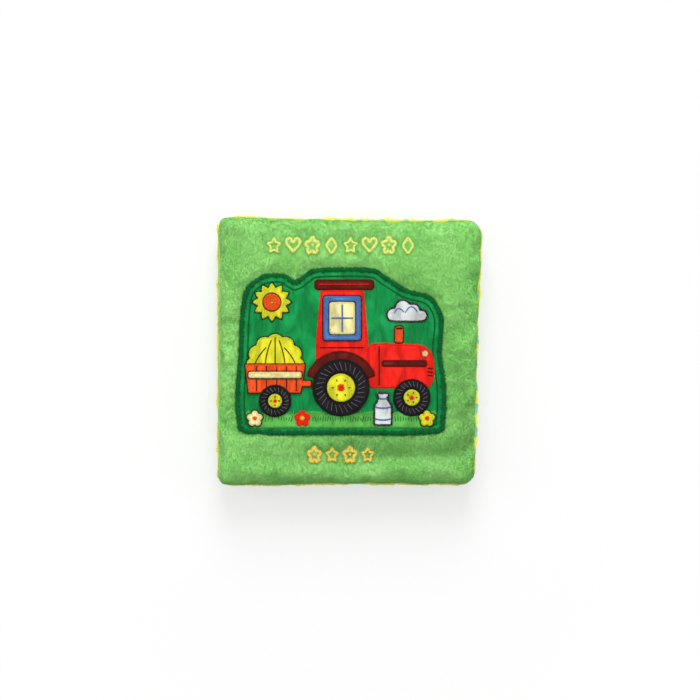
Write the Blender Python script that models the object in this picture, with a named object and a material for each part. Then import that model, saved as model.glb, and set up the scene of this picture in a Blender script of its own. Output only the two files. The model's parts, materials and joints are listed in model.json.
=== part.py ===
# Crinkle cloth book, closed, lying on its back cover.
# Run with: blender --background --python part.py   (metres, +Z up)
#
# +X runs from the spine to the fore-edge, +Y to the head of the page, +Z out of the front cover.
# Covers and leaves are all sewn along one seam, so one axis along Y at the spine carries every hinge.
# Each panel is drawn in the hinge's own frame: x is the distance from the axis, z the height above it.

import math

import bmesh
import bpy

MM = 0.001

# Cover panel
SPINE_LENGTH = 162.5 * MM  # head to foot, at the spine
HEAD_WIDTH = 161.0 * MM  # axis to fore-edge, at the head
FOOT_WIDTH = 156.0 * MM  # axis to fore-edge, at the foot, where the panel is sewn narrower
HEAD_DROP = 2.2 * MM  # how much lower the head edge lies at the fore-edge
SIDE_DRAW = 1.0 * MM  # how far a padded side draws in between its corners
FORE_CORNER = 10.0 * MM  # corner radius at the fore-edge
SPINE_CORNER = 5.0 * MM  # corner radius at the spine
FLANGE = 0.8 * MM  # lining that shows past the plush

# Leaf panel, a little squarer than the cover, so that it peeks out at the foot of the fore-edge
LEAF_HEAD_WIDTH = 158.5 * MM
LEAF_FOOT_WIDTH = 157.6 * MM
LEAF_SETBACK = 1.2 * MM  # leaf shorter than the cover, at the head and at the foot
LEAF_CORNER = 9.0 * MM

# Layers and clearances
GAP = 0.3 * MM  # left between sewn layers
LEAF_CLOTH = 0.5 * MM
LEAF_BATTING = 3.0 * MM
FILM = 0.3 * MM  # crinkle film
LINING = 0.6 * MM
COVER_BATTING = 4.4 * MM
PLUSH = 2.5 * MM  # backing and pile
CROWN = 0.6 * MM  # rise of the plush from its rolled edge to its face

# Edges and gutter
COVER_ROLL = 7.0 * MM  # width of the cover's rolled edge
CROWN_WIDTH = 4.0 * MM  # width over which the crown rises
LEAF_ROLL = 6.0 * MM  # width of the leaf's rolled edge
GUTTER_FLAT = 7.0 * MM  # sewn flat this far from the axis
GUTTER_END = 15.0 * MM  # full thickness from here on
LEAF_FILL_MARGIN = 7.5 * MM  # from the leaf's edge to its batting
COVER_FILL_MARGIN = 5.0 * MM  # from the cover's edge to its batting
FILL_ROUND = 2.0 * MM  # rounding of a batting's edge

# Sewing
SEAM_RADIUS = 2.0 * MM  # the corded seam along the spine
SEAM_SETBACK = 2.5 * MM  # seam shorter than the spine, at each end
SEAM_CLEARANCE = 0.35 * MM
STITCH_WIDTH = 0.5 * MM  # overcast edge thread
STITCH_HEIGHT = 1.0 * MM

# Patch and its picture, drawn 128 wide and 101 high and sewn between four margins
APPLIQUE = 0.4 * MM  # thickness of a sewn-on piece
DRAWN_WIDTH = 128.0
DRAWN_HEIGHT = 101.0
PATCH_SPINE_MARGIN = 11.6 * MM
PATCH_FORE_MARGIN = 19.5 * MM
PATCH_HEAD_MARGIN = 29.3 * MM
PATCH_FOOT_MARGIN = 30.8 * MM
BORDER_WIDTH = 3.0  # drawn units

# Rows of embroidered shapes above and below the patch
HEAD_ROW_COUNT = 8
HEAD_ROW_SPAN = 92.7 * MM
HEAD_ROW_HEIGHT = 12.8 * MM
HEAD_ROW_EDGE = 16.4 * MM  # from the cover's head edge to the middle of the row
FOOT_ROW_COUNT = 4
FOOT_ROW_SPAN = 43.0 * MM
FOOT_ROW_HEIGHT = 13.0 * MM
FOOT_ROW_EDGE = 18.3 * MM
MOTIF_FILL = 0.86  # share of its pitch that a shape may take
MOTIF_TALL = 1.2  # most that a shape is drawn taller than it is wide
MOTIF_HOLLOW = 0.62  # inner outline of an embroidered shape, as a share of its outer one
PETAL = 0.4  # radius of a flower's petal, as a share of the flower's

# Heights above the axis, for the upper half of the book; the lower half is its mirror image
LEAF_BACK_Z = GAP / 2
LEAF_BATTING_Z = LEAF_BACK_Z + LEAF_CLOTH + GAP
LEAF_FILM_Z = LEAF_BATTING_Z + LEAF_BATTING + GAP
LEAF_FRONT_Z = LEAF_FILM_Z + FILM + GAP
LINING_Z = LEAF_FRONT_Z + LEAF_CLOTH + GAP
COVER_FILM_Z = LINING_Z + LINING + GAP
COVER_BATTING_Z = COVER_FILM_Z + FILM + GAP
PLUSH_INNER_Z = COVER_BATTING_Z + COVER_BATTING + GAP
PLUSH_SHOULDER_Z = PLUSH_INNER_Z + PLUSH
PLUSH_FACE_Z = PLUSH_SHOULDER_Z + CROWN
GUTTER_FRONT_Z = LEAF_BACK_Z + LEAF_CLOTH + GAP
GUTTER_LINING_Z = GUTTER_FRONT_Z + LEAF_CLOTH + GAP
LEAF_SEAM_Z = (LEAF_BACK_Z + LEAF_FRONT_Z + LEAF_CLOTH) / 2  # middle of the leaf's sewn edge
GUTTER_X = SEAM_RADIUS + SEAM_CLEARANCE  # where lining and leaves start
PLUSH_X = GAP  # the plush wraps half of the spine

ARC_STEPS = 4  # segments in a quarter circle


class Panel:
    """A sewn panel: a rectangle with rounded corners, drawn out of square as the real one is."""

    def __init__(self, spine_x, length, head_width, foot_width, spine_corner, fore_corner):
        self.spine_x = spine_x
        self.half = length / 2
        self.head_width = head_width
        self.foot_width = foot_width
        self.spine_corner = spine_corner
        self.fore_corner = fore_corner

    def sewn(self, x, y):
        """Place a point of the true rectangle where the sewn panel holds it."""
        up = (y / self.half + 1) / 2
        along = max(0.0, (x - GUTTER_END) / (self.head_width - GUTTER_END))
        drawn_x = x + (self.foot_width - self.head_width) * (1 - up) * along
        drawn_x -= SIDE_DRAW * math.sin(math.pi * min(max(up, 0), 1)) * along
        drawn_y = y - HEAD_DROP * along * up
        drawn_y -= SIDE_DRAW * math.sin(math.pi * min(along, 1)) * y / self.half
        return drawn_x, drawn_y

    def corners(self, inset):
        """Arc points of the spine-foot and fore-foot corners, from the spine outwards."""
        low = self.half - inset
        left, right = self.spine_x + inset, self.head_width - inset
        spine_r = max(self.spine_corner - inset, MM)
        fore_r = max(self.fore_corner - inset, MM)
        turns = [math.pi / 2 * step / ARC_STEPS for step in range(ARC_STEPS + 1)]
        spine = [(left + spine_r * (1 - math.cos(a)), low - spine_r * (1 - math.sin(a))) for a in turns]
        fore = [(right - fore_r * (1 - math.sin(a)), low - fore_r * (1 - math.cos(a))) for a in turns]
        return spine, fore

    def foot_points(self, inset):
        """(x, half height) along the foot from the spine to the fore-edge, gutter stations included."""
        spine, fore = self.corners(inset)
        start, end = spine[-1][0], fore[0][0]
        stations = [max(GUTTER_FLAT, start + MM / 2), max(GUTTER_END, start + MM)]
        stations += [stations[1] + (end - stations[1]) * part for part in (1 / 3, 2 / 3)]
        return spine + [(x, self.half - inset) for x in stations] + fore

    def ring(self, inset, height):
        """Closed outline at an inset; height gives z for each x of the true rectangle."""
        foot = self.foot_points(inset)
        fore_x, fore_half = foot[-1]
        spine_x, spine_half = foot[0]
        quarters = (-0.5, 0.0, 0.5)
        flat = [(x, -y) for x, y in foot]
        flat += [(fore_x, fore_half * part) for part in quarters]
        flat += [(x, y) for x, y in reversed(foot)]
        flat += [(spine_x, -spine_half * part) for part in quarters]
        return [(*self.sewn(x, y), height(x)) for x, y in flat]

    def open_edge(self, inset, height):
        """The outline without its spine side, from the foot's gutter round to the head's gutter."""
        ring = self.ring(inset, lambda x: height)
        first = 2 + ARC_STEPS  # past the spine corner and the flat of the gutter
        count = len(self.foot_points(inset))
        last = 2 * count + 3 - first
        return ring[first:last]


def ramp(gutter_z, body_z):
    """Height that is sewn flat in the gutter and full beyond it."""

    def height(x):
        part = (x - GUTTER_FLAT) / (GUTTER_END - GUTTER_FLAT)
        return gutter_z + (body_z - gutter_z) * min(max(part, 0.0), 1.0)

    return height


cover = Panel(PLUSH_X, SPINE_LENGTH, HEAD_WIDTH, FOOT_WIDTH, SPINE_CORNER, FORE_CORNER)
lining = Panel(
    GUTTER_X,
    SPINE_LENGTH + 2 * FLANGE,
    HEAD_WIDTH + FLANGE,
    FOOT_WIDTH + FLANGE,
    SPINE_CORNER,
    FORE_CORNER + FLANGE,
)
leaf = Panel(
    GUTTER_X,
    SPINE_LENGTH - 2 * LEAF_SETBACK,
    LEAF_HEAD_WIDTH,
    LEAF_FOOT_WIDTH,
    SPINE_CORNER,
    LEAF_CORNER,
)
leaf_fill = Panel(
    GUTTER_END + GAP - LEAF_FILL_MARGIN,  # so that the filling starts past the gutter
    SPINE_LENGTH - 2 * LEAF_SETBACK,
    LEAF_HEAD_WIDTH,
    LEAF_FOOT_WIDTH,
    SPINE_CORNER,
    LEAF_CORNER,
)


# Scene objects

def srgb(red, green, blue):
    """Linear colour of an 8-bit screen colour."""
    return [((value / 255 + 0.055) / 1.055) ** 2.4 for value in (red, green, blue)] + [1.0]


def finish(name, colour, roughness, metallic=0.0):
    material = bpy.data.materials.new(name)
    material.use_nodes = True
    shader = material.node_tree.nodes["Principled BSDF"]
    shader.inputs["Base Color"].default_value = colour
    shader.inputs["Roughness"].default_value = roughness
    shader.inputs["Metallic"].default_value = metallic
    material.diffuse_color = colour
    return material


def empty(name, parent=None, location=(0, 0, 0)):
    axis = bpy.data.objects.new(name, None)
    axis.location = location
    axis.parent = parent
    bpy.context.scene.collection.objects.link(axis)
    return axis


def solid(name, rings, material, carrier, side=1, smooth=True):
    """One closed body: a stack of equal rings, bridged, with its first and last ring capped."""
    shape = bmesh.new()
    loops = [[shape.verts.new((x, y, z * side)) for x, y, z in ring] for ring in rings]
    count = len(loops[0])
    for lower, upper in zip(loops, loops[1:]):
        for i in range(count):
            j = (i + 1) % count
            shape.faces.new((lower[i], lower[j], upper[j], upper[i]))
    shape.faces.new(loops[0])
    shape.faces.new(loops[-1])
    return place(name, shape, material, carrier, smooth)


def place(name, shape, material, carrier, smooth=True):
    bmesh.ops.recalc_face_normals(shape, faces=shape.faces[:])
    mesh = bpy.data.meshes.new(name)
    shape.to_mesh(mesh)
    shape.free()
    mesh.materials.append(material)
    if smooth:
        mesh.shade_smooth()
        mesh.set_sharp_from_angle(angle=math.radians(40))
    piece = bpy.data.objects.new(name, mesh)
    piece.parent = carrier
    bpy.context.scene.collection.objects.link(piece)
    return piece


def band(name, outer, inner, low, high, material, carrier, side=1, closed=True):
    """A flat band between two outlines with as many points each."""
    shape = bmesh.new()
    lanes = [(outer, low), (outer, high), (inner, high), (inner, low)]
    rows = [[shape.verts.new((p[0], p[1], z * side)) for p in line] for line, z in lanes]
    count = len(outer)
    for i in range(count if closed else count - 1):
        j = (i + 1) % count
        for this, other in zip(rows, rows[1:] + rows[:1]):
            shape.faces.new((this[i], this[j], other[j], other[i]))
    if not closed:
        shape.faces.new([row[0] for row in rows])
        shape.faces.new([row[-1] for row in rows])
    return place(name, shape, material, carrier, smooth=False)


def cloth(name, panel, roll, lower, thickness, material, carrier, side):
    """A sheet of cloth over the whole panel; lower(x, inset) gives the height of its underside."""
    columns = panel.foot_points(0)
    insets = [0.0] + [roll * part for part in (1 / 3, 2 / 3, 1)]
    shape = bmesh.new()
    grids = []
    for lift in (0.0, thickness):
        grid = []
        for x, half in columns:
            ends = [half - inset for inset in insets]
            ys = [-y for y in ends] + [0.0] + ends[::-1]
            depths = insets + [roll] + insets[::-1]
            fore = max(0.0, panel.head_width - x)
            column = []
            for y, depth in zip(ys, depths):
                z = lower(x, min(depth, fore)) + lift
                column.append(shape.verts.new((*panel.sewn(x, y), z * side)))
            grid.append(column)
        grids.append(grid)
    wide, tall = len(columns), len(grids[0][0])
    for grid in grids:
        for i in range(wide - 1):
            for j in range(tall - 1):
                shape.faces.new((grid[i][j], grid[i + 1][j], grid[i + 1][j + 1], grid[i][j + 1]))
    rim = [(i, 0) for i in range(wide)] + [(wide - 1, j) for j in range(1, tall)]
    rim += [(i, tall - 1) for i in range(wide - 2, -1, -1)] + [(0, j) for j in range(tall - 2, 0, -1)]
    under, over = grids
    for (i, j), (k, m) in zip(rim, rim[1:] + rim[:1]):
        shape.faces.new((under[i][j], under[k][m], over[k][m], over[i][j]))
    return place(name, shape, material, carrier)


# Panels of the covers and leaves

def plush_shell(name, carrier, side, crown):
    """Plush face with rolled edges, its rim down on the lining and half of the spine behind it."""
    rim = ramp(GUTTER_LINING_Z + LINING + GAP, LINING_Z + LINING + GAP)
    turns = [math.pi / 2 * step / ARC_STEPS for step in range(ARC_STEPS + 1)]

    def rolled(start, width, top):
        rings = []
        for turn in turns:
            inset = start + width * (1 - math.cos(turn))
            rise = math.sin(turn)
            rings.append(cover.ring(inset, lambda x, rise=rise: rim(x) + (top - rim(x)) * rise))
        return rings

    inside = rolled(PLUSH, COVER_ROLL - PLUSH, PLUSH_INNER_Z)[::-1]
    outside = rolled(0.0, COVER_ROLL, PLUSH_SHOULDER_Z)
    face = cover.ring(COVER_ROLL + CROWN_WIDTH, lambda x: PLUSH_SHOULDER_Z + crown)
    solid(name, inside + outside + [face], finishes["plush"], carrier, side)


def padding(name, panel, margin, low, thickness, carrier, side):
    """Batting: a slab with rounded edges."""
    middle, high = low + thickness / 2, low + thickness
    levels = [(margin + FILL_ROUND, low), (margin, middle), (margin + FILL_ROUND, high)]
    rings = [panel.ring(inset, lambda x, z=z: z) for inset, z in levels]
    solid(name, rings, finishes["batting"], carrier, side)


def film(name, panel, margin, low, carrier, side):
    """Crinkle film: a thin flat sheet under the face."""
    rings = [panel.ring(margin, lambda x, z=z: z) for z in (low, low + FILM)]
    solid(name, rings, finishes["film"], carrier, side)


def edge_stitch(name, panel, low, height, carrier, side):
    """Overcast thread along head, fore-edge and foot, just outside the panel."""
    outer = panel.open_edge(-GAP - STITCH_WIDTH, 0.0)
    inner = panel.open_edge(-GAP, 0.0)
    band(name, outer, inner, low, low + height, finishes["edge_thread"], carrier, side, closed=False)


def make_cover(prefix, carrier, side, crown):
    plush_shell(f"{prefix}_plush", carrier, side, crown)
    padding(f"{prefix}_batting", cover, COVER_FILL_MARGIN, COVER_BATTING_Z, COVER_BATTING, carrier, side)
    film(f"{prefix}_crinkle_film", cover, COVER_FILL_MARGIN + FILL_ROUND, COVER_FILM_Z, carrier, side)
    bottom = ramp(GUTTER_LINING_Z, LINING_Z)
    cloth(
        f"{prefix}_lining",
        lining,
        LEAF_ROLL,
        lambda x, inset: bottom(x),
        LINING,
        finishes["lining"],
        carrier,
        side,
    )
    low = LINING_Z + LINING + GAP
    edge_stitch(f"{prefix}_edge_stitch", cover, low, STITCH_HEIGHT, carrier, side)


def make_leaf(prefix, carrier, side, front, back):
    """A padded leaf; front and back name its cloths, from the axis outwards."""
    seam = ramp(0.0, 1.0)

    def sheet(gutter_z, edge_z, body_z):
        def lower(x, inset):
            rise = math.sin(math.pi / 2 * min(inset / LEAF_ROLL, 1.0))
            return gutter_z + (edge_z + (body_z - edge_z) * rise - gutter_z) * seam(x)

        return lower

    near = sheet(LEAF_BACK_Z, LEAF_SEAM_Z - GAP / 2 - LEAF_CLOTH, LEAF_BACK_Z)
    far = sheet(GUTTER_FRONT_Z, LEAF_SEAM_Z + GAP / 2, LEAF_FRONT_Z)
    names = {1: ("back_cloth", "front_cloth"), -1: ("front_cloth", "back_cloth")}[side]
    cloth(f"{prefix}_{names[0]}", leaf, LEAF_ROLL, near, LEAF_CLOTH, back, carrier, side)
    cloth(f"{prefix}_{names[1]}", leaf, LEAF_ROLL, far, LEAF_CLOTH, front, carrier, side)
    padding(f"{prefix}_batting", leaf_fill, LEAF_FILL_MARGIN, LEAF_BATTING_Z, LEAF_BATTING, carrier, side)
    film(f"{prefix}_crinkle_film", leaf_fill, LEAF_FILL_MARGIN, LEAF_FILM_Z, carrier, side)
    low = LEAF_SEAM_Z - STITCH_HEIGHT / 2
    edge_stitch(f"{prefix}_edge_stitch", leaf, low, STITCH_HEIGHT, carrier, side)


def spine_seam(carrier):
    """Corded seam through all panels, on the hinge axis."""
    half = SPINE_LENGTH / 2 - SEAM_SETBACK
    turns = [2 * math.pi * step / (4 * ARC_STEPS) for step in range(4 * ARC_STEPS)]
    levels = [(-half, 0.6), (-half + SEAM_RADIUS / 2, 1.0), (half - SEAM_RADIUS / 2, 1.0), (half, 0.6)]
    rings = [
        [(SEAM_RADIUS * share * math.cos(a), y, SEAM_RADIUS * share * math.sin(a)) for a in turns]
        for y, share in levels
    ]
    solid("spine_seam_cord", rings, finishes["edge_thread"], carrier)


# Outlines of the patch's picture, in drawn units about the patch's centre

def circle(x, y, radius, count=20):
    turns = [2 * math.pi * step / count for step in range(count)]
    return [(x + radius * math.cos(a), y + radius * math.sin(a)) for a in turns]


def lobed(x, y, radius, depth, lobes, count):
    """A round shape with a lobe for each ray, such as the sun."""
    points = []
    for step in range(count):
        a = 2 * math.pi * step / count
        reach = radius * (1 - depth + depth * math.cos(lobes * a))
        points.append((x + reach * math.cos(a), y + reach * math.sin(a)))
    return points


def crossing(first, second):
    """Where two overlapping circles (x, y, radius) cross, on the right of the way between them."""
    (x, y, r), (u, v, s) = first, second
    apart = math.dist((x, y), (u, v))
    along = (r * r - s * s + apart * apart) / (2 * apart)
    off = math.sqrt(r * r - along * along)
    way_x, way_y = (u - x) / apart, (v - y) / apart
    return x + way_x * along + way_y * off, y + way_y * along - way_x * off


def scalloped(puffs, closed, count=7):
    """Outline of a counter-clockwise row of overlapping circles; an open row stands on a flat foot."""
    points = []
    for i, (x, y, radius) in enumerate(puffs):
        last = (i + 1) % len(puffs)
        start, end = -math.pi / 2, 1.5 * math.pi
        if closed or i > 0:
            u, v = crossing(puffs[i - 1], puffs[i])
            start = math.atan2(v - y, u - x)
        if closed or last > 0:
            u, v = crossing(puffs[i], puffs[last])
            end = math.atan2(v - y, u - x)
        while end < start:
            end += 2 * math.pi
        steps = count - 1 if closed or last > 0 else count
        turns = [start + (end - start) * step / (count - 1) for step in range(steps)]
        points += [(x + radius * math.cos(a), y + radius * math.sin(a)) for a in turns]
    return points


def arch(x, y, radius, start, end, count=14):
    turns = [math.radians(start + (end - start) * step / (count - 1)) for step in range(count)]
    return [(x + radius * math.cos(a), y + radius * math.sin(a)) for a in turns]


def rounded(points, radius, steps=3):
    """A polygon with its corners rounded."""
    smooth = []
    for i, corner in enumerate(points):
        ends = []
        for other in (points[i - 1], points[(i + 1) % len(points)]):
            run = math.dist(corner, other)
            part = min(radius, run * 0.45) / run
            ends.append([corner[k] + (other[k] - corner[k]) * part for k in (0, 1)])
        for step in range(steps + 1):
            t = step / steps
            weights = ((1 - t) ** 2, 2 * t * (1 - t), t**2)
            pairs = zip(weights, (ends[0], corner, ends[1]))
            parts = [(w * p[0], w * p[1]) for w, p in pairs]
            smooth.append((sum(p[0] for p in parts), sum(p[1] for p in parts)))
    return smooth


def box(left, bottom, right, top, radius=1.0):
    return rounded([(left, bottom), (right, bottom), (right, top), (left, top)], radius)


def through(points, steps=3):
    """A smooth closed curve through hand-set points."""
    curve = []
    count = len(points)
    for i in range(count):
        before, here, there, after = (points[(i + k) % count] for k in (-1, 0, 1, 2))
        for step in range(steps):
            t = step / steps
            curve.append(
                tuple(
                    0.5 * (2 * b + (c - a) * t + (2 * a - 5 * b + 4 * c - d) * t**2
                           + (3 * b - a - 3 * c + d) * t**3)
                    for a, b, c, d in zip(before, here, there, after)
                )
            )
    return curve


def drawn_in(points, distance):
    """An outline moved inwards, for points that run counter-clockwise."""
    moved = []
    for i, (x, y) in enumerate(points):
        (ax, ay), (bx, by) = points[i - 1], points[(i + 1) % len(points)]
        length = math.hypot(bx - ax, by - ay)
        moved.append((x - (by - ay) / length * distance, y + (bx - ax) / length * distance))
    return moved


def star(radius, tips=5):
    turns = [math.pi / 2 + math.pi * step / tips for step in range(2 * tips)]
    reach = [radius * (1.0 if step % 2 == 0 else 0.5) for step in range(2 * tips)]
    return [(r * math.cos(a), r * math.sin(a)) for r, a in zip(reach, turns)]


def heart(radius, count=20):
    points = []
    for step in range(count):
        a = 2 * math.pi * (step + 0.5) / count
        x = 16 * math.sin(a) ** 3
        y = 13 * math.cos(a) - 5 * math.cos(2 * a) - 2 * math.cos(3 * a) - math.cos(4 * a)
        points.append((-x * radius / 16, (y + 2.5) * radius / 16))
    return points


def flower(radius, x=0.0, y=0.0, petals=5):
    turns = [math.pi / 2 + 2 * math.pi * step / petals for step in range(petals)]
    out, petal = radius * (1 - PETAL), radius * PETAL
    return scalloped([(x + out * math.cos(a), y + out * math.sin(a), petal) for a in turns], True)


def diamond(radius):
    return rounded([(radius * 0.8, 0), (0, radius), (-radius * 0.8, 0), (0, -radius)], radius * 0.2)


PATCH_OUTLINE = [
    (-56, -50), (0, -50.5), (56, -50), (63, -42), (63.5, -20), (61, 0), (62, 20), (55, 33),
    (40, 38), (27, 46), (18, 50.5), (-14, 50.5), (-22, 47), (-28, 43), (-34, 47), (-47, 46.5),
    (-58, 38), (-61, 22), (-62, 0), (-64, -24), (-63, -42),
]
PIECE_GAP = 0.6  # between pieces in one layer
REAR_WHEEL = (0.0, -22.0, 17.0, 9.0)  # centre, tyre radius, hub radius
FRONT_WHEEL = (43.0, -28.0, 11.0, 5.4)
TRAILER_WHEEL = (-40.0, -30.0, 9.5, 4.7)
FENDER_OVERLAP = 1.0  # fender behind the tyre
FENDER_WIDTH = 6.0
CAB_RIGHT = 16.2
CAB_TOP = 37.0
CAB = [
    (-15.0, -14.0), (CAB_RIGHT, -14.0), (CAB_RIGHT, 5.0), (13.5, CAB_TOP), (-12.0, CAB_TOP), (-15.0, 5.0),
]
BONNET_LEFT = CAB_RIGHT + PIECE_GAP
BONNET_TOP = 5.0
BONNET = [
    (BONNET_LEFT, -22.0), (54.0, -22.0), (57.0, -14.0), (56.0, -2.0), (50.0, 4.0), (BONNET_LEFT, BONNET_TOP),
]
ROOF = (-16.0, CAB_TOP + PIECE_GAP, 20.0, 43.5)  # left, bottom, right and top, as for each box
EXHAUST = (33.0, BONNET_TOP + PIECE_GAP, 37.5, 15.0)
BONNET_STRIPE = (25.0, -9.0, 52.0, -5.5)
WINDOW = (-10.5, 7.0, 12.0, 33.5)
WINDOW_BAR = 3.0
TRAILER = [
    (-56.0, -25.0), (-24.6, -25.0), (-24.0, -21.0), (-18.4, -21.0), (-18.4, -18.0), (-23.5, -18.0),
    (-22.0, -8.0), (-58.0, -8.0),
]
TRAILER_SLAT = (-56.0, -16.0, -24.0, -12.5)
CHURN_MIDDLE = 25.5
CHURN_SIDE = [(5.6, -45.0), (5.6, -32.5), (3.0, -29.0), (3.0, -27.4), (4.0, -27.4), (4.0, -25.0)]
MEADOW_FOOT = [(-57.5, -41.0), (-53.0, -46.3), (53.0, -46.3), (57.5, -41.0)]
MEADOW_TOP = -37.2
MEADOW_WAVE = 1.2
HAY_PUFF = 5.0
HAY = (-40.0, -8.5, 12.5, 14.0)  # middle of its foot, then how far the puffs stand out and up
CLOUD = [(49.0, 21.8, 3.8), (44.0, 25.2, 4.2), (37.6, 26.4, 5.2), (31.8, 22.4, 4.4)]  # its puffs
SUN = (-42.0, 30.0, 11.5)
FLOWER_RADIUS = 4.8
FLOWER_HEIGHT = -40.8
FLOWERS = (("left", "cream", -52.3), ("middle", "red", -23.5), ("right", "yellow", 52.2))


def window(inset):
    left, bottom, right, top = WINDOW
    return box(left + inset, bottom + inset, right - inset, top - inset, 1.5)


def churn():
    right = [(CHURN_MIDDLE + x, y) for x, y in CHURN_SIDE]
    left = [(CHURN_MIDDLE - x, y) for x, y in reversed(CHURN_SIDE)]
    return rounded(right + left, 1.0)


def hay_puffs(count=7):
    x, y, out, up = HAY
    turns = [math.pi * step / (count - 1) for step in range(count)]
    return [(x + out * math.cos(a), y + up * math.sin(a), HAY_PUFF) for a in turns]


def meadow_edge(steps=16):
    """The wavy upper edge, from right to left."""
    wide = MEADOW_FOOT[-1][0] - MEADOW_FOOT[0][0]
    return [
        (MEADOW_FOOT[-1][0] - wide * step / steps, MEADOW_TOP + MEADOW_WAVE * math.cos(2.4 * step))
        for step in range(steps + 1)
    ]


def picture():
    """Sewn pieces of the picture: name, finish, layer, outline and, for a band, its inner outline."""
    x, y, tyre, hub = REAR_WHEEL
    fender = [
        arch(x, y, tyre - FENDER_OVERLAP + reach, *ends)
        for reach, ends in ((FENDER_WIDTH, (20, 160)), (0, (160, 20)))
    ]
    pieces = [
        ("meadow", "meadow", 0, MEADOW_FOOT + meadow_edge()),
        ("tractor_bonnet", "red", 0, rounded(BONNET, 4)),
        ("tractor_cab", "red", 0, rounded(CAB, 1.5)),
        ("tractor_roof", "maroon", 0, box(*ROOF, 2)),
        ("hay_load", "yellow", 0, scalloped(hay_puffs(), False)),
        ("sun", "yellow", 0, lobed(*SUN, 0.14, 12, 48)),
        ("cloud", "white", 0, scalloped(CLOUD, False)),
        ("tractor_exhaust", "orange", 0, box(*EXHAUST)),
        ("tractor_fender", "maroon", 1, fender[0] + fender[1]),
        ("window_frame", "blue", 1, window(0), window(WINDOW_BAR)),
        ("window_pane", "cream", 1, window(WINDOW_BAR + PIECE_GAP)),
        ("trailer_box", "orange", 1, TRAILER),
        ("bonnet_stripe", "maroon", 1, box(*BONNET_STRIPE)),
        ("milk_churn", "white", 1, churn()),
        ("trailer_slat", "cream", 2, box(*TRAILER_SLAT)),
    ]
    for side, colour, spot in FLOWERS:
        pieces.append((f"flower_{side}", colour, 1, flower(FLOWER_RADIUS, spot, FLOWER_HEIGHT)))
    wheels = (("rear", REAR_WHEEL, 2), ("front", FRONT_WHEEL, 1), ("trailer", TRAILER_WHEEL, 2))
    for side, (x, y, tyre, hub), layer in wheels:
        pieces.append((f"{side}_tyre", "tyre", layer, circle(x, y, tyre, 24), circle(x, y, hub, 24)))
        pieces.append((f"{side}_hub", "yellow", layer, circle(x, y, hub - PIECE_GAP, 16)))
    return pieces


def patch_place():
    """Centre and scale that put the drawing between its margins on the cover."""
    width = (HEAD_WIDTH + FOOT_WIDTH) / 2 - PATCH_SPINE_MARGIN - PATCH_FORE_MARGIN
    height = SPINE_LENGTH - PATCH_HEAD_MARGIN - PATCH_FOOT_MARGIN
    scale = min(width / DRAWN_WIDTH, height / DRAWN_HEIGHT)
    centre_x = PATCH_SPINE_MARGIN + scale * DRAWN_WIDTH / 2
    centre_y = -SPINE_LENGTH / 2 + PATCH_FOOT_MARGIN + scale * DRAWN_HEIGHT / 2
    return centre_x, centre_y, scale


def applique(carrier):
    """The patch with its border and the picture sewn on it, layer on layer."""
    centre_x, centre_y, scale = patch_place()

    def on_cover(points):
        return [(centre_x + x * scale, centre_y + y * scale) for x, y in points]

    def layer_z(layer):
        return PLUSH_FACE_Z + GAP + layer * (APPLIQUE + GAP)

    def sew(name, colour, low, outer, inner=None):
        high = low + APPLIQUE
        if inner:
            band(name, on_cover(outer), on_cover(inner), low, high, finishes[colour], carrier)
            return
        rings = [[(x, y, z) for x, y in on_cover(outer)] for z in (low, high)]
        solid(name, rings, finishes[colour], carrier, smooth=False)

    outline = through(PATCH_OUTLINE)
    sew("patch_base", "patch_green", layer_z(0), outline)
    sew("patch_border", "border_thread", layer_z(1), outline, drawn_in(outline, BORDER_WIDTH))
    for name, colour, layer, outer, *inner in picture():
        sew(name, colour, layer_z(layer + 1), outer, *inner)


def embroidered_row(prefix, count, span, height, row_y, shapes, colour, carrier):
    """A row of stitched shapes, centred on the patch."""
    pitch = span / count
    reach = min(height, pitch * MOTIF_FILL) / 2
    tall = min(height / 2 / reach, MOTIF_TALL)
    first = patch_place()[0] - pitch * (count - 1) / 2
    low = PLUSH_FACE_Z + GAP
    for index in range(count):
        shape = shapes[index % len(shapes)](reach)
        outlines = [
            [(first + index * pitch + x * share, row_y + y * tall * share) for x, y in shape]
            for share in (1.0, MOTIF_HOLLOW)
        ]
        name = f"{prefix}_motif_{index + 1}"
        band(name, *outlines, low, low + APPLIQUE, finishes[colour], carrier)


def centre_on_box(hinge):
    """Stand the book on z = 0 with the middle of its bounding box over the origin."""
    points = [v.co for piece in bpy.data.objects if piece.type == "MESH" for v in piece.data.vertices]
    lows = [min(p[k] for p in points) for k in range(3)]
    highs = [max(p[k] for p in points) for k in range(3)]
    hinge.location = (-(lows[0] + highs[0]) / 2, -(lows[1] + highs[1]) / 2, -lows[2])
    print("hinge axis at", [round(value, 6) for value in hinge.location])


for old in list(bpy.data.objects):
    bpy.data.objects.remove(old, do_unlink=True)

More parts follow.
